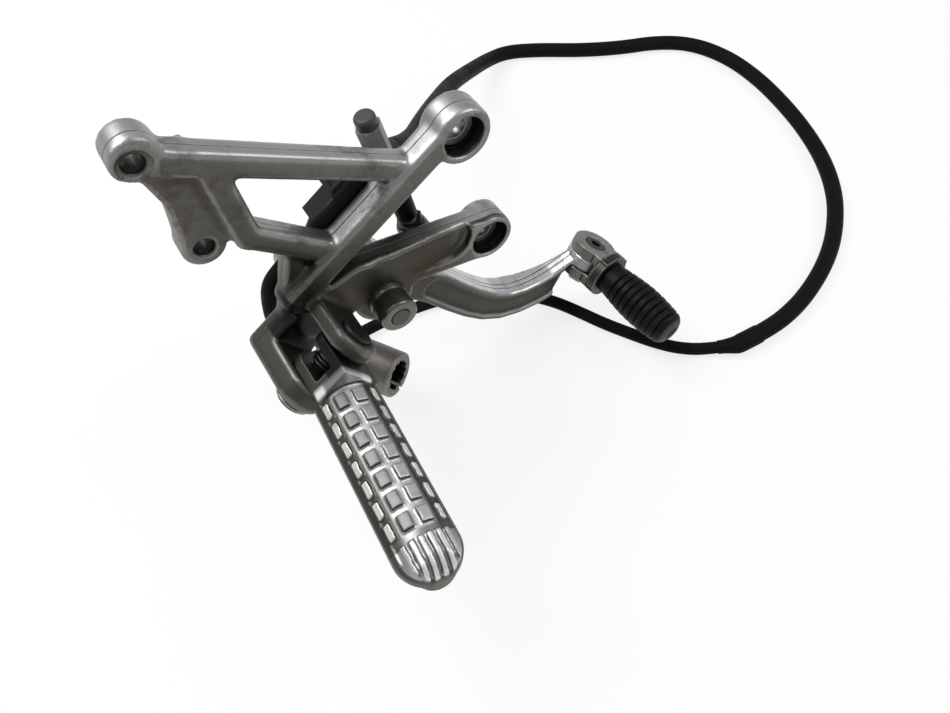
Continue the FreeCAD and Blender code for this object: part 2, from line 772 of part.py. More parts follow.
def lever_taper():
    """Wedge behind the lever that thins it towards the toe."""
    far = toe_eye.x + mm("toe_eye_dia")
    low = toe_eye.z - 2 * mm("toe_eye_dia")
    corners = [at(TAPER_FROM, lever_back, low), at(TAPER_FROM, lever_back + OVER, low),
               at(far, lever_back + OVER, low), at(far, lever_front + mm("lever_toe_thick"), low)]
    return Part.Face(Part.makePolygon(corners + corners[:1])).extrude(at(0, 0, 4 * mm("toe_eye_dia")))


def gear_lever():
    r = mm("lever_height") / 2
    points = [pivot] + [at(x, 0, z) for x, z in LEVER_ROUTE] + [toe_eye]
    bars = []
    for piece in lever_bars(r, lever_front, lever_back, points):
        bars.append(round_ends(piece, mm("edge_round"), [lever_front, lever_back]))
    bars.append(bar(pivot, mm("lever_eye_dia") / 2 - LEVER_RIM, tail, r - OVER, lever_front, lever_back))
    bars.append(disc(pivot, mm("lever_eye_dia"), lever_front, lever_back))
    body = bars[0].fuse(bars[1:])
    groove = lever_bars(r - LEVER_RIM, lever_front - OVER, lever_front + mm("lever_groove"), points[1:-1])
    body = body.cut(groove).cut(lever_taper())
    body = body.cut(disc(pivot, bush_outer, lever_front - OVER, lever_back + OVER))
    room = 4 * mm("toe_eye_dia")
    for side in (1, -1):
        base = toe_eye + toe_axis * (side * mm("toe_eye_thick") / 2)
        body = body.cut(rod(base, toe_axis * side, LEVER_CLEAR * mm("toe_eye_dia"), room))
    eye_base = toe_eye - toe_axis * (mm("toe_eye_thick") / 2)
    eye = rod(eye_base, toe_axis, mm("toe_eye_dia"), mm("toe_eye_thick"))
    body = body.fuse(eye)
    hole = mm("toe_screw_dia") + 2 * mm("running_fit")
    body = body.cut(rod(toe_eye - toe_axis * room, toe_axis, hole, 2 * room))
    ball_hole = rod(at(tail.x, lever_back - mm("ball_seat"), tail.z), INWARD, mm("ball_stem_dia"), room)
    return body.cut(ball_hole)


feature("gear_lever", gear_lever())

# Toe peg: a forked core that folds about its screw, with a ribbed rubber sleeve
toe_out = Rotation(toe_axis, -mm("toe_sweep")).multVec(OUT)


NECK = 0.8
RUBBER_END = 3.0
RUBBER_TAPER = 0.14
half_toe = mm("toe_eye_thick") / 2 + mm("side_play") / 2 + mm("toe_fork")
toe_seat = toe_eye + toe_axis * (half_toe - mm("toe_screw_head"))
toe_low = toe_eye - toe_axis * half_toe


def toe_core():
    half_eye = mm("toe_eye_thick") / 2 + mm("side_play") / 2
    fork = mm("toe_fork")
    blank = []
    for side in (1, -1):
        blank.append(rod(toe_eye + toe_axis * (side * half_eye), toe_axis * side, mm("toe_eye_dia"), fork))
    across = 2 * (half_eye + fork)
    r = mm("toe_eye_dia") / 2
    neck = Part.makeBox(mm("toe_length") - mm("toe_rubber"), 2 * r * NECK, across,
                        Vector(0, -r * NECK, -across / 2))
    neck.Placement = from_axes(toe_eye, toe_out, toe_axis)
    stem = rod(toe_eye, toe_out, mm("toe_core_dia"), mm("toe_length") - RUBBER_END)
    flange = rod(toe_eye + toe_out * (mm("toe_length") - mm("toe_rubber") - mm("toe_flange")), toe_out,
                 mm("toe_flange_dia"), mm("toe_flange"))
    body = blank[0].fuse([blank[1], neck, stem, flange])
    room = rod(toe_eye - toe_axis * half_eye, toe_axis, 1.15 * mm("toe_eye_dia"), 2 * half_eye)
    hole = rod(toe_eye - toe_axis * across, toe_axis, mm("toe_screw_dia"), 2 * across)
    head_room = rod(toe_seat, toe_axis, mm("toe_screw_head_dia"), across)
    return body.cut([room, hole, head_room])


def toe_rubber():
    """Rubber sleeve with round ribs and a closed end."""
    length = mm("toe_rubber")
    r = mm("toe_rubber_dia") / 2
    ribs = int(mm("toe_ribs"))
    pitch = length / ribs
    start = toe_eye + toe_out * (mm("toe_length") - length)
    body = rod(start, toe_out, 2 * (r * (1 - RUBBER_TAPER) - mm("toe_rib_height")), length)
    rings = []
    for number in range(ribs):
        swell = math.sin(math.pi * (number + 1) / (ribs + 1))
        ring = rod(start + toe_out * (number * pitch + pitch * 0.14), toe_out,
                   2 * r * (1 - RUBBER_TAPER * (1 - swell)), pitch * 0.72)
        rims = [e for e in ring.Edges if e.Curve.TypeId == "Part::GeomCircle"]
        rings.append(ring.makeFillet(pitch * 0.25, rims))
    body = body.fuse(rings)
    return body.cut(rod(start - toe_out * OVER, toe_out, mm("toe_core_dia"), length - RUBBER_END + OVER))


feature("toe_core", toe_core())
feature("toe_rubber", toe_rubber())
toe_head = rod(toe_seat, toe_axis, mm("toe_screw_head_dia"), mm("toe_screw_head"))
toe_head = toe_head.makeFillet(0.8, [e for e in toe_head.Edges if e.Curve.TypeId == "Part::GeomCircle"
                                     and (e.CenterOfMass - toe_seat).Length > mm("toe_screw_head") / 2])
toe_shank = rod(toe_low - toe_axis * mm("toe_nut"), toe_axis, mm("toe_screw_dia"),
                2 * half_toe - mm("toe_screw_head") + mm("toe_nut"))
drive = hexagon(toe_seat + toe_axis * (mm("toe_screw_head") - mm("toe_socket")), toe_axis,
                mm("toe_screw_dia") - OVER, 2 * mm("toe_socket"))
feature("toe_screw", toe_head.fuse(toe_shank).cut(drive))
feature("toe_nut", hexagon(toe_low, toe_axis * -1, 1.65 * mm("toe_screw_dia"), mm("toe_nut")).cut(
    rod(toe_low + toe_axis, toe_axis * -1, mm("toe_screw_dia"), 3 * mm("toe_nut"))))

# Shift rod with a ball joint at each end, from the lever's tail to the splined arm
ball_y = lever_back + mm("ball_out")
arm_eye = at(mm("arm_eye_x"), 0, mm("arm_eye_z"))
hub = at(mm("hub_x"), 0, mm("hub_z"))


def ball_stud(centre, depth):
    stem = rod(at(centre.x, lever_back - depth, centre.z), INWARD, mm("ball_stem_dia"),
               depth + mm("ball_out"))
    return stem.fuse(Part.makeSphere(mm("ball_dia") / 2, at(centre.x, ball_y, centre.z)))


feature("lever_ball_stud", ball_stud(tail, mm("ball_seat")))
feature("arm_ball_stud", ball_stud(arm_eye, mm("arm_plate")))
rod_way = (arm_eye - tail).normalize()
rod_reach = (arm_eye - tail).Length
stem_reach = mm("rod_stem") + mm("socket_dia") / 2
MOUTH = 0.6


def rod_end(centre, way):
    """Ball socket with a threaded shank towards the rod."""
    y0 = ball_y - mm("socket_thick") / 2
    body = disc(centre, mm("socket_dia"), y0, y0 + mm("socket_thick"))
    body = round_ends(body, mm("ear_round"), [y0 + mm("socket_thick")])
    shank = rod(at(centre.x, ball_y, centre.z), way, mm("ball_stem_dia"), stem_reach)
    room = Part.makeSphere(mm("ball_dia") / 2 + mm("ball_play"), at(centre.x, ball_y, centre.z))
    mouth_r = mm("ball_dia") / 2
    mouth = Part.makeCone(mouth_r - MOUTH, mouth_r + MOUTH, mm("socket_thick") / 2 + OVER,
                          at(centre.x, ball_y - OVER, centre.z), OUT)
    return body.fuse(shank).cut([room, mouth])


feature("upper_rod_end", rod_end(tail, rod_way))
feature("lower_rod_end", rod_end(arm_eye, rod_way * -1))
rod_gap = mm("socket_dia") / 2 + mm("rod_gap") + mm("rod_nut")
rod_base = at(tail.x, ball_y, tail.z) + rod_way * rod_gap
rod_body = hexagon(rod_base, rod_way, mm("rod_hex"), rod_reach - 2 * rod_gap)
for end, way in ((tail, rod_way), (arm_eye, rod_way * -1)):
    rod_body = rod_body.cut(rod(at(end.x, ball_y, end.z), way, mm("ball_stem_dia"), stem_reach))
feature("shift_rod", rod_body)
nuts = []
for end, way in ((tail, rod_way), (arm_eye, rod_way * -1)):
    start = at(end.x, ball_y, end.z) + way * (rod_gap - mm("rod_nut"))
    nut = hexagon(start, way, mm("rod_nut_hex"), mm("rod_nut"))
    nuts.append(nut.cut(rod(start - way, way, mm("ball_stem_dia"), 3 * mm("rod_nut"))))
feature("shift_rod_nuts", Part.makeCompound(nuts))


hub_front = mm("hub_start")
hub_back = hub_front + mm("hub_length")
lug_drop = mm("hub_dia") / 2 + 1.5 * mm("pinch_bolt_dia")
lug_half = mm("pinch_lug") / 2
pinch_at = at(hub.x - lug_half, hub_back - OVER - mm("pinch_lug_deep") / 2,
              hub.z - lug_drop + 0.8 * mm("pinch_bolt_dia"))
hub_mouth = at(hub.x, hub_front, hub.z)
SPLINE_WIDTH = 0.13
SPLINE_DEPTH = 0.8


def hub_turned(shape):
    """Shape turned about the rod's line, as the arm hangs on its ball joint."""
    shape.rotate(hub_mouth, rod_way * -1, mm("hub_turn"))
    return shape


def splined_hub():
    """Clamp hub along the lever's axis: splined bore, slit and pinch lugs below."""
    body = disc(hub, mm("hub_dia"), hub_front, hub_back)
    body = round_ends(body, OVER, [hub_front, hub_back])
    lugs = Part.makeBox(2 * lug_half, mm("pinch_lug_deep"), lug_drop,
                        at(hub.x - lug_half, hub_back - OVER - mm("pinch_lug_deep"), hub.z - lug_drop))
    return body.fuse(lugs)


def hub_cuts():
    """Splined bore, the slit below it and the pinch bolt's hole."""
    through = mm("hub_length") + 2 * mm("arm_plate")
    cuts = [disc(hub, mm("hub_bore") - 2 * SPLINE_DEPTH, hub_front - OVER, hub_front - OVER + through)]
    teeth = int(mm("spline_teeth"))
    wide = mm("hub_bore") * SPLINE_WIDTH
    for number in range(teeth):
        groove = Part.makeBox(mm("hub_bore") / 2, through, wide, at(0, hub_front - OVER, -wide / 2))
        groove.rotate(Vector(0, 0, 0), INWARD, 360.0 * number / teeth)
        groove.translate(hub)
        cuts.append(groove)
    slit = mm("pinch_slit")
    cuts.append(Part.makeBox(slit, through, lug_drop + OVER,
                             at(hub.x - slit / 2, hub_front - OVER, hub.z - lug_drop - OVER)))
    cuts.append(rod(pinch_at - ALONG_X, ALONG_X, mm("pinch_bolt_dia"), mm("pinch_lug") + 2 * OVER))
    return cuts


def splined_arm():
    """Flat arm from the ball stud to the turned clamp hub."""
    body = hub_turned(splined_hub())
    heel = hub_turned(Part.Vertex(hub.x, hub_back, hub.z)).Point
    r = mm("arm_plate_width") / 2
    plate = bar(at(heel.x, 0, heel.z), r + OVER, arm_eye, r, lever_back - mm("arm_plate"), lever_back)
    cuts = [hub_turned(cut) for cut in hub_cuts()]
    eye_base = at(arm_eye.x, lever_back - mm("arm_plate") - OVER, arm_eye.z)
    cuts.append(rod(eye_base, INWARD, mm("ball_stem_dia"), mm("arm_plate") + 2 * OVER))
    return body.fuse(plate).cut(cuts)


feature("splined_arm", splined_arm())
pinch_shank = rod(pinch_at, ALONG_X, mm("pinch_bolt_dia"), mm("pinch_lug") + OVER)
pinch_head = hexagon(pinch_at, ALONG_X * -1, 1.6 * mm("pinch_bolt_dia"), mm("rod_nut"))
feature("pinch_bolt", hub_turned(pinch_shank.fuse(pinch_head)))

# Lead: a thick sleeved stretch from the sensor round to the toe peg, then the thinner lead to the connector
SLEEVE_ROUTE = [
    (0.5, 34, -38), (27, 70, -61), (57, 110, -88), (91, 150, -114), (126, 182, -137), (152, 203, -152),
    (175, 212, -159), (197, 201, -159), (221, 185, -159), (248, 171.5, -159), (275, 162.5, -159),
    (296, 147, -159), (307, 121, -159), (308, 91, -159), (303, 60, -159), (295, 31, -159), (283, 3, -159),
    (266, -22, -159), (246, -41, -159), (226, -55, -159), (203, -66, -159), (180, -73.5, -159),
    (156, -76.5, -159), (135, -75, -159)]
LEAD_ROUTE = [
    (119, -68, -160), (107, -59, -160.5), (98, -48, -160.5), (90.5, -36, -160.5), (83, -23.5, -160.5),
    (76.5, -10, -160.5), (69, 4, -160.5), (58, 17, -160.5), (44, 28, -160.5), (26, 37, -160.5),
    (4, 42, -160.5), (-17, 43.5, -160.5), (-38, 42.5, -160), (-57, 39, -157.3), (-72, 33, -147.5),
    (-79, 26, -130), (-81, 20, -110), (-82.5, 15, -92), (-83.5, 11, -77), (-83.3, 8, -64), (-82, 5, -51)]

# Shift sensor: hex body with a black cap, a boot below it and its threaded nose through the casting's lug
grip_end = sensor_top + sensor_dir * mm("sensor_grip")
nose = rod(grip_end, sensor_dir, mm("sensor_nose_dia"),
           mm("sensor_length") - mm("sensor_grip") + mm("sensor_nose"))
sensor_body = hexagon(sensor_top + sensor_dir * mm("sensor_cap"), sensor_dir, mm("sensor_hex"),
                      mm("sensor_grip") - mm("sensor_cap"))
feature("sensor_body", sensor_body.fuse(nose))
cap = rod(sensor_top, sensor_dir, mm("sensor_cap_dia"), mm("sensor_cap"))
cap = cap.makeFillet(mm("edge_round"), [e for e in cap.Edges if e.Curve.TypeId == "Part::GeomCircle"
                           and (e.CenterOfMass - sensor_top).Length < OVER])
feature("sensor_cap", cap)
locknuts = []
for start in (sensor_end, lug_base + sensor_dir * mm("lug_thick")):
    nut = hexagon(start, sensor_dir, 1.55 * mm("sensor_nose_dia"), mm("nut_thick"))
    locknuts.append(nut.cut(rod(start - sensor_dir, sensor_dir, mm("sensor_nose_dia"), 3 * mm("nut_thick"))))
feature("sensor_nuts", Part.makeCompound(locknuts))
boot = Part.makeCone(mm("sensor_boot_dia") / 2, mm("sensor_hex") / 2, mm("sensor_boot"), grip_end, sensor_dir)
feature("sensor_boot", boot.cut(nose))
GLAND_AT = 0.6
gland_base = sensor_top + sensor_dir * (mm("sensor_grip") * GLAND_AT)
gland_dir = (at(*SLEEVE_ROUTE[0]) - gland_base).normalize()
gland = Part.makeCone(mm("gland_dia") / 2, mm("sleeve_dia") / 2, mm("gland_length"), gland_base, gland_dir)
feature("sensor_gland", gland.cut([sensor_body, nose]))
gland_end = gland_base + gland_dir * mm("gland_length")

# Connector on the back of the strut, where the lead ends
connector_at = at(mm("connector_x"), arm_back + mm("connector_depth") / 2, mm("connector_z"))


def connector_box(length, width, depth, shift, r):
    box = Part.makeBox(length, depth, width, Vector(shift - length / 2, -depth / 2, -width / 2))
    box = box.makeFillet(r, [e for e in box.Edges if abs(e.tangentAt(e.FirstParameter).x) > 0.9])
    box.Placement = from_axes(connector_at, strut_dir, strut_side)
    return box


split = mm("connector_length") / 2
socket_half = connector_box(split, mm("connector_width"), mm("connector_depth"), split / 2, mm("edge_round"))
step = mm("plug_step")
plug_half = connector_box(split, mm("connector_width") - 3 * step, mm("connector_depth") - 2 * step,
                          -split / 2, mm("edge_round"))
rim = mm("socket_rim")
socket_rim = connector_box(split * 0.84, 2 * rim, mm("connector_depth") * 0.8, split / 2, rim / 3)
socket_rim.translate(strut_side * (mm("connector_width") / 2))
socket_pocket = connector_box(split * 0.6, 2 * rim, mm("connector_depth") * 0.5, split / 2, rim / 3)
socket_pocket.translate(strut_side * (mm("connector_width") / 2 + rim / 2))
feature("connector_socket", socket_half.fuse(socket_rim).cut(socket_pocket))
plug_half.translate(at(0, -step, 0))
feature("connector_plug", plug_half)
latch = connector_box(split * 0.9, mm("latch_width"), mm("latch_thick"), split * 0.4, mm("latch_thick") / 4)
latch.translate(at(0, (mm("connector_depth") + mm("latch_thick")) / 2, 0))
feature("connector_latch", latch)
collar_start = connector_at - strut_dir * split + at(0, -step, 0)
collar = Part.makeCone(mm("connector_collar_dia") / 2, mm("lead_dia") / 2, mm("connector_collar"),
                       collar_start, strut_dir * -1)
feature("connector_collar", collar)
collar_end = collar_start - strut_dir * mm("connector_collar")

CUT_BACK = 0.45


def smooth_path(points):
    """Straight runs joined by tangent arcs, each as large as its two runs allow."""
    edges = []
    last = points[0]
    radii = []
    for before, corner, after in zip(points, points[1:], points[2:]):
        a = before - corner
        b = after - corner
        shorter = min(a.Length, b.Length)
        cut_back = CUT_BACK * shorter
        turn = math.pi - a.getAngle(b)
        radii.append(cut_back / math.tan(turn / 2))
        a.normalize()
        b.normalize()
        start = corner + a * cut_back
        end = corner + b * cut_back
        bisector = (a + b).normalize()
        centre_gap = radii[-1] / math.cos(turn / 2)
        middle = corner + bisector * (centre_gap - radii[-1])
        edges.append(Part.LineSegment(last, start).toShape())
        edges.append(Part.Arc(start, middle, end).toShape())
        last = end
    edges.append(Part.LineSegment(last, points[-1]).toShape())
    return Part.Wire(edges), radii


def lead_tube(label, points, dia):
    path, radii = smooth_path(points)
    way = (points[1] - points[0]).normalize()
    ring = Part.Wire(Part.makeCircle(dia / 2, points[0], way))
    tube = path.makePipeShell([ring], True, False)
    print(label, "length", round(path.Length), "tightest", round(min(radii), 1))
    feature(label, tube)


sleeve_points = [gland_end] + [at(*p) for p in SLEEVE_ROUTE]
APPROACH = 17.4
lead_points = [sleeve_points[-1]] + [at(*p) for p in LEAD_ROUTE]
lead_points += [collar_end - strut_dir * APPROACH, collar_end]
lead_tube("lead_sleeve", sleeve_points, mm("sleeve_dia"))
lead_tube("sensor_lead", lead_points, mm("lead_dia"))

doc.recompute()
for part in doc.Objects:
    if "Invalid" in part.State or "Error" in part.State:
        raise RuntimeError("%s did not build" % part.Label)
os.makedirs("parts", exist_ok=True)
for label, part in finished.items():
    shape = part.Shape
    if shape.isNull() or not shape.isValid():
        raise RuntimeError("%s has no valid shape" % label)
    print(label, len(shape.Solids), round(shape.Volume))
    shape.exportStep("parts/%s.step" % label)
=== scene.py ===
# %% [markdown]
# # Dressing a motorcycle footrest hanger
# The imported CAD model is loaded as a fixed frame: every piece already has its true size and place, in
# metres, with X towards the gear lever's toe, Y inboard and Z up. This lesson gives the pieces their
# softened cast and forged edges, their metal, rubber and plastic, and lays the lead as one smooth line.

# %% Load the frame
import json
import math

import bmesh
import bpy
import numpy as np
from mathutils import Matrix, Vector

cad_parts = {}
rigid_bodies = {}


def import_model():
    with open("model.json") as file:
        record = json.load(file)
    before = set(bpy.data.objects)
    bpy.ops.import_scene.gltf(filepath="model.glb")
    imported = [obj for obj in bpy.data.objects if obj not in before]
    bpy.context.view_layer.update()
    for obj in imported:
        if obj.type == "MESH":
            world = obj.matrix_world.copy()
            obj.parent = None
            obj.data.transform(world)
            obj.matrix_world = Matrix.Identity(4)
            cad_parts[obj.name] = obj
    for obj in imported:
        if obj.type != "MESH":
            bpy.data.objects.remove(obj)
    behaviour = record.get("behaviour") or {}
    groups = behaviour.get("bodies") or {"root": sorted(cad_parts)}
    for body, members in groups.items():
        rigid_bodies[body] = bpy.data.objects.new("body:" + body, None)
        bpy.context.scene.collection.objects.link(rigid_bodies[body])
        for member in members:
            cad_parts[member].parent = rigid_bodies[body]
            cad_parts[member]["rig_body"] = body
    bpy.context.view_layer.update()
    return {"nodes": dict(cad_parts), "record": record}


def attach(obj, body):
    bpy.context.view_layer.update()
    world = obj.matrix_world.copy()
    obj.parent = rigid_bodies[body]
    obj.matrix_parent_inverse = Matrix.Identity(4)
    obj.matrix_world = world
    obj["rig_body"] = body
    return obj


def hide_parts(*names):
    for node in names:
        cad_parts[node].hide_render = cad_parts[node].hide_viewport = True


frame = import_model()
nodes = frame["nodes"]
MM = 0.001

# %% [markdown]
# ## Camera
# The photograph looks down on the part from outboard and a little from the rear. The camera is written as
# its place and three directions (right, up, back), which are the columns of its matrix, so nothing needs
# to be aimed by a constraint.

# %% Camera
PHOTO_WIDE = 950
FOCAL_PIXELS = 820.0
CAMERA_AT = Vector((-0.1263, -0.2200, 0.2026))
CAMERA_RIGHT = Vector((0.845, -0.536, 0.0)).normalized()
CAMERA_BACK = Vector((-0.308, -0.486, 0.818)).normalized()
CAMERA_UP = CAMERA_BACK.cross(CAMERA_RIGHT)

camera_data = bpy.data.cameras.new("photo_camera")
camera_data.sensor_width = 36.0
camera_data.lens = camera_data.sensor_width * FOCAL_PIXELS / PHOTO_WIDE
camera = bpy.data.objects.new("photo_camera", camera_data)
turn = Matrix((CAMERA_RIGHT, CAMERA_UP, CAMERA_BACK)).transposed()
camera.matrix_world = Matrix.Translation(CAMERA_AT) @ turn.to_4x4()
bpy.context.scene.collection.objects.link(camera)
bpy.context.scene.camera = camera
print("lens", round(camera_data.lens, 2), "mm")

# %% [markdown]
# ## Shader building blocks
# Several finishes share the same effects: blotchy grime, fine grain, wear where an edge sticks out, and painted shade
# in hollows. Each effect is a node group, built once, with named inputs and outputs, and placed in every material that
# needs it with values of its own. The edge wear and the painted shade read attributes that are worked out from each
# mesh's curvature.


# %% Node helpers
def link(tree, source, target):
    tree.links.new(source, target)


def add_node(tree, kind, **values):
    """A node of one kind, with plain settings as attributes."""
    made = tree.nodes.new(kind)
    for name, value in values.items():
        setattr(made, name, value)
    return made


def new_group(name, inputs, outputs):
    """An empty node group with float inputs (name: default) and float outputs."""
    tree = bpy.data.node_groups.new(name, "ShaderNodeTree")
    for label, default in inputs.items():
        socket = tree.interface.new_socket(label, in_out="INPUT", socket_type="NodeSocketFloat")
        socket.default_value = default
    for label in outputs:
        tree.interface.new_socket(label, in_out="OUTPUT", socket_type="NodeSocketFloat")
    return tree, tree.nodes.new("NodeGroupInput"), tree.nodes.new("NodeGroupOutput")


def math_node(tree, operation, first, second=None):
    """A Math node; each operand is a socket or a number."""
    made = add_node(tree, "ShaderNodeMath", operation=operation)
    for slot, value in zip(made.inputs, (first, second)):
        if isinstance(value, (int, float)):
            slot.default_value = value
        elif value is not None:
            link(tree, value, slot)
    return made.outputs[0]


def soft_step(tree, value, low, high):
    """0 below low, 1 above high and a smooth rise between."""
    made = add_node(tree, "ShaderNodeMapRange", interpolation_type="SMOOTHSTEP")
    link(tree, value, made.inputs["Value"])
    for name, bound in (("From Min", low), ("From Max", high)):
        if isinstance(bound, (int, float)):
            made.inputs[name].default_value = bound
        else:
            link(tree, bound, made.inputs[name])
    return made.outputs["Result"]


def noise(tree, scale, detail=4.0, roughness=0.55):
    """Noise on Object coordinates; scale counts features per metre."""
    place = add_node(tree, "ShaderNodeTexCoord")
    made = add_node(tree, "ShaderNodeTexNoise")
    made.inputs["Detail"].default_value = detail
    made.inputs["Roughness"].default_value = roughness
    link(tree, place.outputs["Object"], made.inputs["Vector"])
    if isinstance(scale, (int, float)):
        made.inputs["Scale"].default_value = scale
    else:
        link(tree, scale, made.inputs["Scale"])
    return made.outputs["Fac"]


# %% Shared effects as node groups
def grime_group():
    """Blotches: broad noise times finer noise, kept above a threshold that Amount lowers."""
    tree, given, out = new_group("Grime", {"Scale": 60.0, "Amount": 0.5}, ["Mask"])
    broad = noise(tree, given.outputs["Scale"], 5.0)
    fine = noise(tree, math_node(tree, "MULTIPLY", given.outputs["Scale"], 7.0), 3.0)
    both = math_node(tree, "ADD", math_node(tree, "MULTIPLY", broad, 0.7), math_node(tree, "MULTIPLY", fine, 0.3))
    edge = math_node(tree, "SUBTRACT", 0.72, math_node(tree, "MULTIPLY", given.outputs["Amount"], 0.3))
    mask = soft_step(tree, both, math_node(tree, "SUBTRACT", edge, 0.08), math_node(tree, "ADD", edge, 0.08))
    link(tree, mask, out.inputs["Mask"])
    return tree


def pits_group():
    """Small pits: the inside of small Voronoi cells, kept only where a noise is high."""
    tree, given, out = new_group("Pits", {"Scale": 900.0, "Amount": 0.3}, ["Mask"])
    place = add_node(tree, "ShaderNodeTexCoord")
    cells = add_node(tree, "ShaderNodeTexVoronoi")
    link(tree, place.outputs["Object"], cells.inputs["Vector"])
    link(tree, given.outputs["Scale"], cells.inputs["Scale"])
    spot = soft_step(tree, cells.outputs["Distance"], 0.34, 0.16)
    where = noise(tree, math_node(tree, "MULTIPLY", given.outputs["Scale"], 0.12), 2.0)
    low = math_node(tree, "SUBTRACT", 0.78, math_node(tree, "MULTIPLY", given.outputs["Amount"], 0.3))
    kept = soft_step(tree, where, low, math_node(tree, "ADD", low, 0.05))
    link(tree, math_node(tree, "MULTIPLY", spot, kept), out.inputs["Mask"])
    return tree


def wear_and_shade_group():
    """Worn edges: the mesh's curvature attribute, broken up by noise; the two hollow outputs are painted shade where
    the fine and the broad form are hollow.
    """
    tree, given, out = new_group("EdgeWearAndShade", {"Amount": 0.5, "Break": 0.5}, ["Edge", "HollowShade", "CornerShade"])
    broad = add_node(tree, "ShaderNodeAttribute", attribute_name="broad_curvature")
    curve = add_node(tree, "ShaderNodeAttribute", attribute_name="curvature")
    rough = math_node(tree, "MULTIPLY", math_node(tree, "SUBTRACT", noise(tree, 300.0), 0.5), given.outputs["Break"])
    value = math_node(tree, "ADD", curve.outputs["Fac"], rough)
    low = math_node(tree, "SUBTRACT", 0.75, math_node(tree, "MULTIPLY", given.outputs["Amount"], 0.7))
    link(tree, soft_step(tree, value, low, math_node(tree, "ADD", low, 0.35)), out.inputs["Edge"])
    # painted shade: the two hollow outputs mark fine and broad hollows, which the finishes darken
    link(tree, soft_step(tree, curve.outputs["Fac"], -0.1, -0.6), out.inputs["HollowShade"])
    link(tree, soft_step(tree, broad.outputs["Fac"], -0.05, -0.7), out.inputs["CornerShade"])
    return tree


GRIME = grime_group()
PITS = pits_group()
WEAR_AND_SHADE = wear_and_shade_group()
print("shared effects", [g.name for g in (GRIME, PITS, WEAR_AND_SHADE)])


# %% Material helpers
def new_material(name, metallic, roughness, **sockets):
    """A material with one Principled BSDF whose plain numbers are set on its own sockets."""
    made = bpy.data.materials.new(name)
    made.use_nodes = True
    shader = made.node_tree.nodes["Principled BSDF"]
    shader.inputs["Metallic"].default_value = metallic
    shader.inputs["Roughness"].default_value = roughness
    for label, value in sockets.items():
        shader.inputs[label.replace("_", " ")].default_value = value
    return made, made.node_tree, shader


def place_group(tree, group, **values):
    made = add_node(tree, "ShaderNodeGroup", node_tree=group)
    for label, value in values.items():
        made.inputs[label].default_value = value
    return made


def mix_colour(tree, share, first, second):
    """Mix two colours; each is a socket or an (r, g, b)."""
    made = add_node(tree, "ShaderNodeMix", data_type="RGBA")
    link(tree, share, made.inputs["Factor"])
    for slot, value in ((made.inputs[6], first), (made.inputs[7], second)):
        if isinstance(value, tuple):
            slot.default_value = (*value, 1.0)
        else:
            link(tree, value, slot)
    return made.outputs[2]


def mix_value(tree, share, first, second):
    made = add_node(tree, "ShaderNodeMix", data_type="FLOAT")
    link(tree, share, made.inputs["Factor"])
    for slot, value in ((made.inputs[2], first), (made.inputs[3], second)):
        if isinstance(value, (int, float)):
            slot.default_value = value
        else:
            link(tree, value, slot)
    return made.outputs[0]


def layer(tree, colour, mask, share, tint):
    """A tint laid over a colour where a mask shows, at most by a share."""
    return mix_colour(tree, math_node(tree, "MULTIPLY", mask, share), colour, tint)


def bump(tree, shader, height, distance, strength=0.6):
    """Bump from a height socket; distance in metres. It is put on top of any bump that is there."""
    made = add_node(tree, "ShaderNodeBump")
    made.inputs["Distance"].default_value = distance
    made.inputs["Strength"].default_value = strength
    link(tree, height, made.inputs["Height"])
    before = shader.inputs["Normal"]
    if before.is_linked:
        link(tree, before.links[0].from_socket, made.inputs["Normal"])
    link(tree, made.outputs["Normal"], before)


def facing(tree, axis):
    """How far the surface faces along one axis of the part, from -1 to 1."""
    made = add_node(tree, "ShaderNodeNewGeometry")
    split = add_node(tree, "ShaderNodeSeparateXYZ")
    link(tree, made.outputs["Normal"], split.inputs["Vector"])
    return split.outputs[axis]


def attribute(tree, name):
    """A number stored on the mesh, point by point."""
    return add_node(tree, "ShaderNodeAttribute", attribute_name=name).outputs["Fac"]


def position(tree):
    place = add_node(tree, "ShaderNodeTexCoord")
    split = add_node(tree, "ShaderNodeSeparateXYZ")
    link(tree, place.outputs["Object"], split.inputs["Vector"])
    return split.outputs


# %% [markdown]
# ## Cast aluminium
# The hanger is a sand-textured casting. Its upward faces are painted bright as painted light from above, and its
# outboard faces are painted darker as painted shade and are also browner. A fine parting line runs along the middle of
# its thickness where the two halves of the mould met. The parting line follows a plane of constant depth, so it is a
# narrow band of the Y coordinate, shown only on faces that look up or down.

# %% Cast aluminium
PARTING_Y = -0.0075


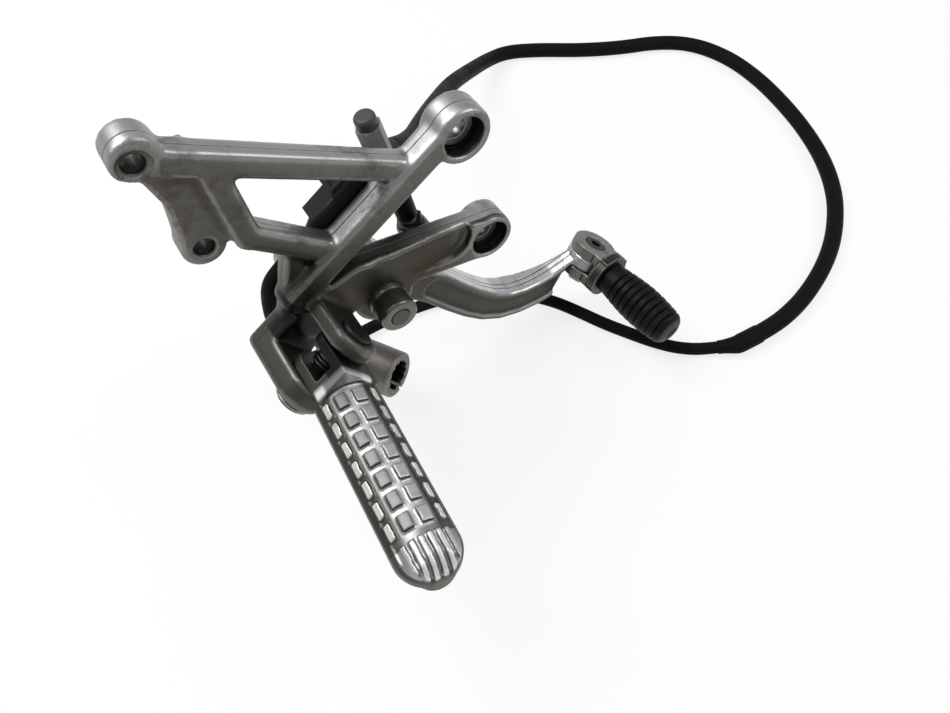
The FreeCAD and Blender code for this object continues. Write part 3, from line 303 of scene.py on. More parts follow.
def cast_material():
    made, tree, shader = new_material("cast_aluminium", 0.9, 0.4)
    # painted light: faces looking up are painted bright and faces looking out are painted dark, lit and shaded copies
    # of one metal
    up = soft_step(tree, facing(tree, "Z"), -0.15, 0.95)
    wear_and_shade = place_group(tree, WEAR_AND_SHADE, Amount=0.3, Break=0.6)
    grime = place_group(tree, GRIME, Scale=55.0, Amount=0.5)
    pits = place_group(tree, PITS, Scale=800.0, Amount=0.4)
    specks = place_group(tree, PITS, Scale=330.0, Amount=0.45)
    mottle = noise(tree, 38.0, 6.0, 0.6)
    shaded_front = mix_colour(tree, mottle, (0.073, 0.068, 0.054), (0.144, 0.137, 0.113))
    lit_top = mix_colour(tree, mottle, (0.36, 0.364, 0.362), (0.52, 0.526, 0.526))
    colour = mix_colour(tree, up, shaded_front, lit_top)
    # painted shade: the lower arm's sunk panel is painted dark
    colour = layer(tree, colour, attribute(tree, "recess_shade"), 0.88, (0.036, 0.034, 0.03))
    # painted shade: the strut's foot and the pivot boss are painted darker towards the bottom, with a browner tint
    colour = layer(tree, colour, attribute(tree, "low"), 0.88, (0.047, 0.042, 0.031))
    colour = layer(tree, colour, wear_and_shade.outputs["Edge"], 0.16, (0.6, 0.595, 0.58))
    # painted shade: broad hollow corners are painted dark
    colour = layer(tree, colour, wear_and_shade.outputs["CornerShade"], 0.6, (0.04, 0.036, 0.03))
    colour = layer(tree, colour, grime.outputs["Mask"], 0.5, (0.07, 0.057, 0.041))
    # painted shade: inside the bolt bosses, the rear holes and the clevis is painted near black
    colour = layer(tree, colour, attribute(tree, "deep_shade"), 0.92, (0.018, 0.017, 0.016))
    colour = layer(tree, colour, specks.outputs["Mask"], 0.6, (0.03, 0.025, 0.019))
    colour = layer(tree, colour, pits.outputs["Mask"], 0.8, (0.025, 0.021, 0.017))
    place = position(tree)
    off = math_node(tree, "ABSOLUTE", math_node(tree, "SUBTRACT", place["Y"], PARTING_Y))
    line = soft_step(tree, off, 0.00035, 0.00012)
    side = soft_step(tree, math_node(tree, "ABSOLUTE", facing(tree, "Y")), 0.6, 0.3)
    line = math_node(tree, "MULTIPLY", line, side)
    colour = layer(tree, colour, line, 0.8, (0.05, 0.047, 0.043))
    link(tree, colour, shader.inputs["Base Color"])
    rough = mix_value(tree, up, 0.42, 0.38)
    rough = mix_value(tree, grime.outputs["Mask"], rough, 0.56)
    link(tree, rough, shader.inputs["Roughness"])
    bump(tree, shader, noise(tree, 240.0, 4.0), 0.0005, 0.14)
    bump(tree, shader, noise(tree, 1800.0, 3.0), 0.00012, 0.3)
    bump(tree, shader, math_node(tree, "MULTIPLY", pits.outputs["Mask"], -1.0), 0.0003, 0.6)
    bump(tree, shader, math_node(tree, "MULTIPLY", line, -1.0), 0.0003, 0.6)
    return made


CAST = cast_material()
print("made", CAST.name)

# %% [markdown]
# ## Steel and bronze
# The small metal pieces share one recipe: a grey between two values, pale where an edge stands out, painted shade in
# hollows and inside a bore, with a little grime. Plated, blackened and dirty steel and bronze are the same recipe with
# other colours.


# %% Steel and bronze
def bright_metal(name, low, high, roughness, hollow, grime_share):
    """Metal between two colours, with painted shade in hollows and bores, pale edges and a little grime."""
    made, tree, shader = new_material(name, 0.9, roughness)
    wear_and_shade = place_group(tree, WEAR_AND_SHADE, Amount=0.6, Break=0.3)
    grime = place_group(tree, GRIME, Scale=110.0, Amount=0.4)
    colour = mix_colour(tree, noise(tree, 60.0), low, high)
    pale = tuple(min(0.9, c * 1.35) for c in high)
    colour = layer(tree, colour, wear_and_shade.outputs["Edge"], 0.7, pale)
    # painted shade: fine hollows are painted dark
    colour = layer(tree, colour, wear_and_shade.outputs["HollowShade"], 0.85, hollow)
    colour = layer(tree, colour, grime.outputs["Mask"], grime_share, (0.12, 0.105, 0.09))
    # painted shade: inside a bore is painted near black
    colour = layer(tree, colour, attribute(tree, "bore"), 0.93, (0.01, 0.009, 0.008))
    link(tree, colour, shader.inputs["Base Color"])
    link(tree, mix_value(tree, grime.outputs["Mask"], roughness, roughness + 0.2), shader.inputs["Roughness"])
    bump(tree, shader, noise(tree, 2500.0, 2.0), 0.00006, 0.3)
    return made


HUB = bright_metal("dirty_steel", (0.12, 0.112, 0.098), (0.2, 0.188, 0.168), 0.45, (0.05, 0.043, 0.035), 0.6)
PLATED = bright_metal("plated_steel", (0.26, 0.255, 0.24), (0.36, 0.355, 0.34), 0.34, (0.06, 0.055, 0.05), 0.4)
COLLAR = bright_metal("turned_collar", (0.12, 0.115, 0.1), (0.19, 0.183, 0.163), 0.3, (0.04, 0.037, 0.033), 0.35)
DARK_COLLAR = bright_metal("pin_end", (0.06, 0.058, 0.052), (0.1, 0.097, 0.09), 0.33, (0.03, 0.028, 0.025), 0.35)
DARK = bright_metal("blackened_steel", (0.035, 0.035, 0.035), (0.06, 0.059, 0.057), 0.38, (0.015, 0.015, 0.015), 0.2)
BRONZE = bright_metal("sintered_bronze", (0.36, 0.25, 0.13), (0.46, 0.33, 0.18), 0.45, (0.12, 0.08, 0.04), 0.3)
print("made", [m.name for m in (HUB, PLATED, COLLAR, DARK_COLLAR, DARK, BRONZE)])

# %% [markdown]
# ## Footpeg, lever and toe bracket
# The footpeg is one piece with two finishes: its grip is machined, with bright floors between studs that boots have
# dulled, and its fork is left as forged, brown with dirt. The studs' height and the place along the peg are stored
# on the mesh, so the finish follows the shape; painted shade darkens the studs' walls and the fork's slot, and painted
# highlights lighten the forward half's stud tops, the studs near the sides and the crests of the tip's ribs. The lever
# is painted bright on top as painted light and dark in front as painted shade, and two fine lines run along its top.
# The toe bracket is dull, with its top painted lighter as painted light, painted shade in its hollows, and a dark
# flange.


# %% Footpeg, lever and toe bracket finishes
def peg_material():
    made, tree, shader = new_material("footpeg_aluminium", 0.9, 0.36)
    wear_and_shade = place_group(tree, WEAR_AND_SHADE, Amount=0.5, Break=0.3)
    grime = place_group(tree, GRIME, Scale=120.0, Amount=0.45)
    stud = attribute(tree, "stud")
    edge = attribute(tree, "rim_highlight")
    # wall: the studs' sides, which are painted dark as painted shade
    wall = math_node(tree, "MULTIPLY", soft_step(tree, stud, 0.02, 0.3), soft_step(tree, stud, 0.98, 0.75))
    top = mix_colour(tree, noise(tree, 400.0), (0.19, 0.19, 0.184), (0.3, 0.3, 0.292))
    # painted highlight: the stud tops of the forward half are painted light
    top = layer(tree, top, attribute(tree, "lit_half"), 0.7, (0.66, 0.665, 0.66))
    ground = mix_colour(tree, attribute(tree, "side"), (0.8, 0.8, 0.79), (0.07, 0.066, 0.055))
    colour = mix_colour(tree, stud, ground, top)
    colour = layer(tree, colour, wall, 0.92, (0.035, 0.033, 0.029))
    # painted highlight: studs near a side are painted near white
    colour = layer(tree, colour, edge, 0.9, (0.86, 0.86, 0.85))
    # painted shade: fine hollows are painted darker
    colour = layer(tree, colour, wear_and_shade.outputs["HollowShade"], 0.35, (0.1, 0.097, 0.09))
    colour = layer(tree, colour, attribute(tree, "land"), 0.7, (0.13, 0.13, 0.125))
    # painted highlight: the crests of the tip's ribs are painted near white, mid grey between them
    ribs = mix_colour(tree, soft_step(tree, stud, 0.6, 1.0), (0.36, 0.36, 0.352), (0.8, 0.8, 0.79))
    colour = mix_colour(tree, attribute(tree, "tip"), colour, ribs)
    raw = mix_colour(tree, noise(tree, 80.0), (0.042, 0.038, 0.031), (0.092, 0.085, 0.071))
    raw = layer(tree, raw, wear_and_shade.outputs["Edge"], 0.3, (0.3, 0.29, 0.27))
    # painted shade: the slot between the fork's cheeks is painted near black
    raw = layer(tree, raw, attribute(tree, "slot"), 0.9, (0.012, 0.011, 0.01))
    colour = mix_colour(tree, attribute(tree, "fork"), colour, raw)
    colour = layer(tree, colour, attribute(tree, "flank"), 0.88, (0.055, 0.05, 0.039))
    colour = layer(tree, colour, grime.outputs["Mask"], 0.3, (0.10, 0.09, 0.075))
    link(tree, colour, shader.inputs["Base Color"])
    rough = mix_value(tree, stud, 0.4, 0.52)
    link(tree, mix_value(tree, attribute(tree, "fork"), rough, 0.5), shader.inputs["Roughness"])
    bump(tree, shader, noise(tree, 2500.0, 2.0), 0.00006, 0.3)
    return made


LEVER_LINES = (0.0042, 0.0072)
LINE_HALF = 0.00028


def lever_material():
    made, tree, shader = new_material("forged_lever", 0.9, 0.36)
    # painted light: the top is painted bright and the front painted dark, lit and shaded copies of one metal
    up = soft_step(tree, facing(tree, "Z"), 0.0, 0.85)
    wear_and_shade = place_group(tree, WEAR_AND_SHADE, Amount=0.4, Break=0.4)
    grime = place_group(tree, GRIME, Scale=90.0, Amount=0.45)
    mottle = noise(tree, 70.0)
    shaded_front = mix_colour(tree, mottle, (0.038, 0.035, 0.027), (0.075, 0.07, 0.056))
    lit_top = mix_colour(tree, mottle, (0.56, 0.565, 0.565), (0.72, 0.725, 0.725))
    colour = mix_colour(tree, up, shaded_front, lit_top)
    colour = layer(tree, colour, wear_and_shade.outputs["Edge"], 0.08, (0.4, 0.395, 0.38))
    # painted shade: broad hollow corners are painted dark
    colour = layer(tree, colour, wear_and_shade.outputs["CornerShade"], 0.8, (0.03, 0.027, 0.021))
    colour = layer(tree, colour, grime.outputs["Mask"], 0.35, (0.09, 0.077, 0.06))
    depth = position(tree)["Y"]
    near = [math_node(tree, "ABSOLUTE", math_node(tree, "SUBTRACT", depth, y)) for y in LEVER_LINES]
    line = soft_step(tree, math_node(tree, "MINIMUM", near[0], near[1]), LINE_HALF * 2, LINE_HALF)
    line = math_node(tree, "MULTIPLY", line, soft_step(tree, facing(tree, "Z"), 0.2, 0.6))
    colour = layer(tree, colour, line, 0.75, (0.12, 0.115, 0.105))
    link(tree, colour, shader.inputs["Base Color"])
    link(tree, mix_value(tree, up, 0.42, 0.3), shader.inputs["Roughness"])
    bump(tree, shader, noise(tree, 2200.0, 2.0), 0.00008, 0.3)
    bump(tree, shader, math_node(tree, "MULTIPLY", line, -1.0), 0.0003, 0.6)
    return made


def bracket_material():
    made, tree, shader = new_material("toe_bracket", 0.85, 0.42)
    up = soft_step(tree, facing(tree, "Z"), 0.2, 0.9)
    wear_and_shade = place_group(tree, WEAR_AND_SHADE, Amount=0.4, Break=0.5)
    grime = place_group(tree, GRIME, Scale=150.0, Amount=0.5)
    colour = mix_colour(tree, noise(tree, 120.0), (0.1, 0.095, 0.082), (0.18, 0.172, 0.152))
    # painted light: faces looking up are painted lighter
    colour = layer(tree, colour, up, 0.55, (0.36, 0.355, 0.335))
    colour = mix_colour(tree, attribute(tree, "flange"), colour, (0.04, 0.039, 0.036))
    colour = layer(tree, colour, wear_and_shade.outputs["Edge"], 0.3, (0.36, 0.35, 0.33))
    # painted shade: fine hollows are painted near black
    colour = layer(tree, colour, wear_and_shade.outputs["HollowShade"], 0.85, (0.02, 0.018, 0.015))
    colour = layer(tree, colour, grime.outputs["Mask"], 0.4, (0.07, 0.058, 0.045))
    link(tree, colour, shader.inputs["Base Color"])
    link(tree, mix_value(tree, grime.outputs["Mask"], 0.38, 0.6), shader.inputs["Roughness"])
    bump(tree, shader, noise(tree, 2000.0, 3.0), 0.0001, 0.35)
    return made


PEG = peg_material()
LEVER = lever_material()
BRACKET = bracket_material()
print("made", [m.name for m in (PEG, LEVER, BRACKET)])

# %% [markdown]
# ## Rubber and plastic
# The toe peg's rubber, the boot and the lead are black but never the same black: dust dulls the rubber, the
# lead's sleeve is smooth and takes a soft shine, and the connector is moulded with a fine matt skin.


# %% Rubber and plastic
def black_material(name, colour, dusty, roughness, grain, dust, shine=0.5):
    """A dark base with pale dust by noise and on worn edges, a worn tip and a fine grain."""
    made, tree, shader = new_material(name, 0.0, roughness, Specular_IOR_Level=shine)
    grime = place_group(tree, GRIME, Scale=90.0, Amount=0.5)
    wear_and_shade = place_group(tree, WEAR_AND_SHADE, Amount=0.35, Break=0.6)
    share = math_node(tree, "MAXIMUM", grime.outputs["Mask"], wear_and_shade.outputs["Edge"])
    tint = mix_colour(tree, math_node(tree, "MULTIPLY", share, dust), colour, dusty)
    tint = layer(tree, tint, attribute(tree, "worn"), 0.8, (0.1, 0.095, 0.085))
    link(tree, tint, shader.inputs["Base Color"])
    link(tree, mix_value(tree, share, roughness, min(0.9, roughness + 0.2)), shader.inputs["Roughness"])
    bump(tree, shader, noise(tree, grain, 3.0), 0.00008, 0.4)
    return made


RUBBER = black_material("black_rubber", (0.003, 0.003, 0.003), (0.012, 0.0115, 0.011), 0.48, 1500.0, 0.4, 0.16)
PLASTIC = black_material("black_plastic", (0.008, 0.0083, 0.009), (0.026, 0.026, 0.027), 0.42, 2500.0, 0.35, 0.2)
GREY_PLASTIC = black_material("grey_plastic", (0.19, 0.196, 0.198), (0.27, 0.273, 0.27), 0.42, 2500.0, 0.4)
CAP = black_material("cap_plastic", (0.05, 0.05, 0.048), (0.1, 0.097, 0.09), 0.42, 2500.0, 0.5, 0.3)
SLEEVE = black_material("black_sleeve", (0.008, 0.0076, 0.007), (0.016, 0.0148, 0.0135), 0.5, 700.0, 0.4, 0.03)
print("made", [m.name for m in (RUBBER, PLASTIC, GREY_PLASTIC, CAP, SLEEVE)])

# %% [markdown]
# ## The lead
# The lead is a fixed length of something flexible. Its route is repeated from the CAD source as control points
# in metres, and a NURBS spline through that control polygon gives one smooth line with no straight runs. The
# first stretch wears a thicker sleeve.

# %% Lead routes
SLEEVE_POINTS = [
    (-16.92, 17.67, -20.83), (0.5, 34, -38), (27, 70, -61), (57, 110, -88), (91, 150, -114), (126, 182, -137),
    (152, 203, -152), (175, 212, -159), (197, 201, -159), (221, 185, -159), (248, 171.5, -159), (275, 162.5, -159),
    (296, 147, -159), (307, 121, -159), (308, 91, -159), (303, 60, -159), (295, 31, -159), (283, 3, -159),
    (266, -22, -159), (246, -41, -159), (226, -55, -159), (203, -66, -159), (180, -73.5, -159),
    (156, -76.5, -159), (135, -75, -159)]
LEAD_POINTS = [
    (135, -75, -159), (119, -68, -160), (107, -59, -160.5), (98, -48, -160.5), (90.5, -36, -160.5),
    (83, -23.5, -160.5), (76.5, -10, -160.5), (69, 4, -160.5), (58, 17, -160.5), (44, 28, -160.5),
    (26, 37, -160.5), (4, 42, -160.5), (-17, 43.5, -160.5), (-38, 42.5, -160), (-57, 39, -157.3), (-72, 33, -147.5),
    (-79, 26, -130), (-81, 20, -110), (-82.5, 15, -92), (-83.5, 11, -77), (-83.3, 8, -64), (-82, 5, -51),
    (-74.7, 3.5, -42.4), (-60.45, 3.5, -32.4)]


def lead_curve(name, points, dia, material):
    """A round lead: one NURBS spline with the route as control points and a round bevel."""
    data = bpy.data.curves.new(name, "CURVE")
    data.dimensions = "3D"
    spline = data.splines.new("NURBS")
    spline.points.add(len(points) - 1)
    rows = np.hstack([np.array(points) * MM, np.ones((len(points), 1))])
    spline.points.foreach_set("co", rows.ravel())
    spline.order_u = 3
    spline.use_endpoint_u = True
    spline.resolution_u = 8
    data.bevel_depth = dia / 2
    data.bevel_resolution = 6
    data.use_fill_caps = True
    data.materials.append(material)
    made = bpy.data.objects.new(name, data)
    bpy.context.scene.collection.objects.link(made)
    return made


SLEEVE_DIA = 0.0098
LEAD_DIA = 0.0068
sleeve = lead_curve("sleeved_lead", SLEEVE_POINTS, SLEEVE_DIA, SLEEVE)
lead = lead_curve("bare_lead", LEAD_POINTS, LEAD_DIA, SLEEVE)
print("lead laid with", len(SLEEVE_POINTS) + len(LEAD_POINTS), "points")

# %% [markdown]
# ## Ring surfaces
# Turned and moulded round pieces are one formula: circles of changing radius, carried along a line. The end of the
# lead's sleeve is such a piece, a shrunk wrap that follows the lead's own spline and narrows from one to the other.


# %% Ring surfaces
def ring_surface(name, centres, side, up, radii, steps, closed=False):
    """Circles centre + radius * (cos t * side + sin t * up) joined by quads; either each end shrinks to a point, or
    the last circle joins the first."""
    angle = np.linspace(0, 2 * np.pi, steps, endpoint=False)
    around = np.cos(angle)[None, :, None] * side[:, None, :] + np.sin(angle)[None, :, None] * up[:, None, :]
    rings = centres[:, None, :] + radii[:, None, None] * around
    rows = len(centres)
    first = np.arange(rows if closed else rows - 1)[:, None] * steps
    second = np.roll(np.arange(rows) * steps, -1)[:len(first), None]
    here = np.arange(steps)[None, :]
    after = np.roll(np.arange(steps), -1)[None, :]
    quads = np.stack([first + here, first + after, second + after, second + here], -1).reshape(-1, 4)
    points = rings.reshape(-1, 3)
    faces = quads.tolist()
    if not closed:
        start = len(points)
        points = np.vstack([points, centres[:1], centres[-1:]])
        low = np.stack([np.full(steps, start), after[0], here[0]], -1)
        high = np.stack([np.full(steps, start + 1), here[0] + (rows - 1) * steps, after[0] + (rows - 1) * steps], -1)
        faces += low.tolist() + high.tolist()
    mesh = bpy.data.meshes.new(name)
    mesh.from_pydata(points.tolist(), [], faces)
    mesh.polygons.foreach_set("use_smooth", np.ones(len(mesh.polygons), bool))
    made = bpy.data.objects.new(name, mesh)
    bpy.context.scene.collection.objects.link(made)
    return made


def finish_piece(piece, body, slot, material, *replaced):
    """Give a new piece its finish, its body and the CAD nodes that it stands for."""
    piece.data.materials.append(material)
    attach(piece, body)
    if replaced:
        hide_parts(*replaced)
    print(piece.name, len(piece.data.polygons), "faces")
    return piece


# %% Wrap at the sleeve's end
def spline_points(curve_object):
    """Points along a lead's own spline, as Blender evaluates it without its bevel."""
    bare = curve_object.copy()
    bare.data = curve_object.data.copy()
    bare.data.bevel_depth = 0.0
    bare.data.resolution_u = 32
    bpy.context.scene.collection.objects.link(bare)
    ready = bare.evaluated_get(bpy.context.evaluated_depsgraph_get())
    mesh = bpy.data.meshes.new_from_object(ready)
    points = np.zeros(len(mesh.vertices) * 3, np.float32)
    mesh.vertices.foreach_get("co", points)
    bpy.data.objects.remove(bare)
    return points.reshape(-1, 3).astype(float)


WRAP_BACK = 0.016
WRAP_AHEAD = 0.012
WRAP_WALL = 0.0004
WRAP_RINGS = 40


def sleeve_wrap():
    """A tube round the joint: the sleeve's radius plus a wall, eased down to the lead's radius past the joint."""
    joint = np.array(SLEEVE_POINTS[-1]) * MM
    before = spline_points(sleeve)
    after = spline_points(lead)
    before = before[np.linalg.norm(before - joint, axis=1) < WRAP_BACK]
    after = after[np.linalg.norm(after - joint, axis=1) < WRAP_AHEAD]
    line = np.vstack([before, after[1:]])
    along = np.concatenate([[0], np.cumsum(np.linalg.norm(np.diff(line, axis=0), axis=1))])
    share = np.linspace(0, along[-1], WRAP_RINGS)
    centres = np.stack([np.interp(share, along, line[:, axis]) for axis in range(3)], -1)
    way = np.gradient(centres, axis=0)
    way /= np.linalg.norm(way, axis=1)[:, None]
    side = np.cross(way, [0, 0, 1])
    side /= np.linalg.norm(side, axis=1)[:, None]
    up = np.cross(side, way)
    ease = np.clip((share - 0.45 * along[-1]) / (0.5 * along[-1]), 0, 1)
    ease = ease * ease * (3 - 2 * ease)
    radii = (1 - ease) * SLEEVE_DIA / 2 + ease * LEAD_DIA / 2 + WRAP_WALL
    radii[[0, -1]] -= WRAP_WALL
    return ring_surface("sleeve_wrap", centres, -side, up, radii, WRAP_RINGS)


wrap = finish_piece(sleeve_wrap(), "hanger", "black_sleeve", SLEEVE)
for piece, node in ((sleeve, "lead_sleeve"), (lead, "sensor_lead")):
    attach(piece, "hanger")
    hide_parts(node)

# %% [markdown]
# ## Toe rubber and pivot collar
# The toe rubber is a moulded sleeve: a radius that swells towards the middle, minus a narrow groove at every step,
# and an end that boots have worn open. Its inside fits the bracket's stem. The pivot collar is turned: straight
# sides with a fine step near its seat and a round outer edge, open in the middle for the pin's flush end.

# %% Toe rubber
TOE_EYE = np.array([86.5, 1.2, -131.0])
TOE_OUT = np.array([0.1229, -0.9903, -0.0653])
RUBBER_FROM = 17.0
RUBBER_LONG = 46.0
STEM_R = 4.5
STEM_TO = 43.0
RIBS_FROM = 6.5
RIBS_TO = 42.5
RIB_PITCH = 4.0
GROOVE = 1.15
GROOVE_SHARE = 0.11
TURN_STEPS = 96


def frame_of(axis):
    """Two directions square to an axis, so that side x up = axis."""
    side = np.cross([0.0, 0.0, 1.0], axis)
    side /= np.linalg.norm(side)
    return side, np.cross(axis, side)


def lathe(name, base, axis, along, radii, steps, closed=False):
    """A turned piece: a profile of radius and distance along an axis, in millimetres."""
    side, up = frame_of(axis)
    rows = len(along)
    centres = (base + np.outer(along, axis)) * MM
    return ring_surface(name, centres, np.tile(side, (rows, 1)), np.tile(up, (rows, 1)), radii * MM, steps, closed)


def toe_rubber():
    """Radius 8.8 + 2.1 sin(pi s) with a bell-shaped groove at each rib step, a round shoulder and a worn hollow end."""
    s = np.linspace(0, RUBBER_LONG - 1.2, 420)
    swell = 8.8 + 2.1 * np.sin(np.pi * np.clip((s - 3) / 43, 0, 1))
    phase = (s - RIBS_FROM) / RIB_PITCH % 1.0
    groove = np.exp(-((phase - 0.5) / GROOVE_SHARE) ** 2) * ((s > RIBS_FROM) & (s < RIBS_TO))
    end = np.clip((s - (RUBBER_LONG - 5)) / 4.6, 0, 1)
    outer = (swell - GROOVE * groove) * np.sqrt(1 - 0.55 * end ** 2)
    start_round = np.clip(s / 0.8, 0, 1)
    outer -= 0.8 * (1 - np.sqrt(1 - (1 - start_round) ** 2))
    inside = np.array([STEM_TO, STEM_TO, 0.0])
    inside_r = np.array([0.02, STEM_R, STEM_R])
    tip = np.array([RUBBER_LONG - 0.4, RUBBER_LONG - 0.1, RUBBER_LONG - 0.3, RUBBER_LONG - 1.3, RUBBER_LONG - 1.5])
    tip_r = np.array([5.4, 4.6, 3.9, 3.3, 0.02])
    along = np.concatenate([inside, s, tip])
    radii = np.concatenate([inside_r, outer, tip_r])
    made = lathe("toe_rubber_ribbed", TOE_EYE + TOE_OUT * RUBBER_FROM, TOE_OUT, along, radii, TURN_STEPS)
    worn = np.clip((along - (RUBBER_LONG - 2.2)) / 1.4, 0, 1)
    values = np.concatenate([np.repeat(worn, TURN_STEPS), [0.0, 1.0]]).astype(np.float32)
    made.data.attributes.new("worn", "FLOAT", "POINT").data.foreach_set("value", values)
    return made


finish_piece(toe_rubber(), "toe_peg", "black_rubber", RUBBER, "toe_rubber")

# %% Pivot collar
PIVOT_SEAT = np.array([-40.0, -14.0, -67.0])
OUTBOARD = np.array([0.0, -1.0, 0.0])


def pivot_collar():
    """A ring: flare at the seat, straight side with a fine step, quarter-round edge, flat end and a chamfered bore."""
    bend = np.linspace(0, np.pi / 2, 9)
    side = np.array([0.0, 0.25, 0.9, 3.0, 3.25, 3.6, 10.9])
    side_r = np.array([8.8, 8.8, 8.65, 8.55, 8.35, 8.45, 8.35])
    along = np.concatenate([side, 10.9 + 1.6 * np.sin(bend), [12.5, 12.5, 12.0, 0.0]])
    radii = np.concatenate([side_r, 8.35 - 1.6 * (1 - np.cos(bend)), [5.2, 4.75, 4.15, 4.15]])
    return lathe("pivot_collar_turned", PIVOT_SEAT, OUTBOARD, along, radii, TURN_STEPS, closed=True)


finish_piece(pivot_collar(), "hanger", "zinc_steel", COLLAR, "pivot_collar")

# %% [markdown]
# ## Softened castings and forgings
# A real casting has no knife edges: every corner is rounded and every inner corner has a fillet. The CAD solid is
# copied, its loose triangles merged, remeshed on a fine voxel grid, and then smoothed with numpy: each round moves
# every point towards the mean of its neighbours and part of the way back, which rounds the edges and keeps the
# size. The same sum gives the curvature that the finishes read.


# %% Softening
FINE_SPREAD = 6
BROAD_SPREAD = 30
MERGE = 1e-6


def neighbour_mean(points, edges):
    """The mean of each point's neighbours along the mesh's edges."""
    total = np.zeros_like(points)
    count = np.zeros(len(points))
    for a, b in ((0, 1), (1, 0)):
        for axis in range(3):
            total[:, axis] += np.bincount(edges[:, a], points[edges[:, b], axis], len(points))
        count += np.bincount(edges[:, a], minlength=len(points))
    return total / np.maximum(count, 1)[:, None]


def read_points(mesh):
    points = np.zeros(len(mesh.vertices) * 3, np.float32)
    mesh.vertices.foreach_get("co", points)
    return points.reshape(-1, 3).astype(float)


def read_edges(mesh):
    edges = np.zeros(len(mesh.edges) * 2, np.int32)
    mesh.edges.foreach_get("vertices", edges)
    return edges.reshape(-1, 2)


def store_curvature(mesh, name, spread):
    """Store how far each point stands out of (+) or lies below (-) its smoothed neighbourhood."""
    points = read_points(mesh)
    edges = read_edges(mesh)
    normals = np.zeros(len(points) * 3, np.float32)
    mesh.vertices.foreach_get("normal", normals)
    normals = normals.reshape(-1, 3)
    mean = points
    for _ in range(spread):
        mean = neighbour_mean(mean, edges)
    height = np.einsum("ij,ij->i", points - mean, normals)
    scale = 3 * np.std(height) + 1e-9
    attribute = mesh.attributes.new(name, "FLOAT", "POINT")
    attribute.data.foreach_set("value", np.clip(height / scale * 2, -1, 1).astype(np.float32))


FIRM_LINES = {
    "hanger_casting": [(0, 0, 0, 0, 10.5), (12.5, -60.9, 12.5, -60.9, 10.5), (-112.2, 38, -112.2, 38, 7.0),
                       (-101.8, -3.8, -101.8, -3.8, 7.0), (-99, 33, -91, -9.4, 3.5)],
}
FIRM_SHARE = 0.1
FIRM_FADE = 2.0


def softness(node, points):
    """1 where edges are rounded fully; small within a radius of firm lines (x, z to x, z, in mm), which keep crisp."""
    share = np.ones(len(points))
    flat = points[:, [0, 2]] / MM
    for x0, z0, x1, z1, radius in FIRM_LINES.get(node, []):
        start = np.array([x0, z0])
        way = np.array([x1, z1]) - start
        at = np.clip((flat - start) @ way / max(way @ way, 1e-9), 0, 1)
        away = np.linalg.norm(flat - start - at[:, None] * way, axis=1)
        share = np.minimum(share, np.clip((away - radius) / FIRM_FADE, FIRM_SHARE, 1))
    return share[:, None]


def softened(node, voxel, rounds, keep, material, slot):
    """A remeshed, smoothed copy of a CAD node that stands for it."""
    source = nodes[node]
    shape = bmesh.new()
    shape.from_mesh(source.data)
    bmesh.ops.remove_doubles(shape, verts=shape.verts, dist=MERGE)
    mesh = bpy.data.meshes.new(node + "_soft")
    shape.to_mesh(mesh)
    shape.free()
    made = bpy.data.objects.new(node + "_soft", mesh)
    bpy.context.scene.collection.objects.link(made)
    remesh = made.modifiers.new("voxels", "REMESH")
    remesh.mode = "VOXEL"
    remesh.voxel_size = voxel
    ready = made.evaluated_get(bpy.context.evaluated_depsgraph_get())
    made.data = bpy.data.meshes.new_from_object(ready)
    made.modifiers.clear()
    points = read_points(made.data)
    edges = read_edges(made.data)
    share = softness(node, points)
    for _ in range(rounds):
        points = points + 0.5 * share * (neighbour_mean(points, edges) - points)
        points = points - keep * share * (neighbour_mean(points, edges) - points)
    made.data.vertices.foreach_set("co", points.astype(np.float32).ravel())
    made.data.update()
    made.data.polygons.foreach_set("use_smooth", np.ones(len(made.data.polygons), bool))
    store_curvature(made.data, "curvature", FINE_SPREAD)
    store_curvature(made.data, "broad_curvature", BROAD_SPREAD)
    made.data.materials.clear()
    made.data.materials.append(material)
    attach(made, source["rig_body"])
    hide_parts(node)
    print(made.name, len(made.data.polygons), "faces")
    return made


# node, voxel, rounds of smoothing, share moved back, finish, slot
SOFT_PIECES = [
    ("hanger_casting", 0.00072, 14, 0.0, CAST, "cast_aluminium"),
    ("footpeg", 0.0004, 4, 0.3, PEG, "machined_aluminium"),
    ("gear_lever", 0.0005, 16, 0.0, LEVER, "lever_aluminium"),
    ("toe_core", 0.00035, 6, 0.3, BRACKET, "lever_aluminium"),
    ("splined_arm", 0.0004, 3, 0.52, HUB, "zinc_steel"),
]
soft = {row[0]: softened(*row) for row in SOFT_PIECES}


# %% Masks that follow the shape
def store(piece, name, values):
    made = piece.data.attributes.new(name, "FLOAT", "POINT")
    made.data.foreach_set("value", np.clip(values, 0, 1).astype(np.float32))


def rise(values, start, width):
    """0 up to a start, then a straight rise to 1 over a width."""
    return np.clip((values - start) / width, 0, 1)


PEG_PIN = np.array([-0.076, -0.032, -0.065])
PEG_OUT = np.array([-0.0698, -0.9976, 0.0])
PEG_TOP = np.array([0.0872, 0.0, 0.9962])
PEG_LONG = 0.1005
GRIP_FROM = 0.013
GRIP_HALF = 0.0106
GRIP_CROWN = 0.0044
GRIP_GROOVE = 0.002
GRIP_MIDDLE = 0.0045
EDGE_STUDS = 0.0072
FLANK_FROM = 0.0112
TIP_RIBS = 0.0150
TIP_LAND = 0.004
NOSE_ROUND = 0.010
NOSE_MIDDLE = -0.0036
FORK_HALF = 0.0055


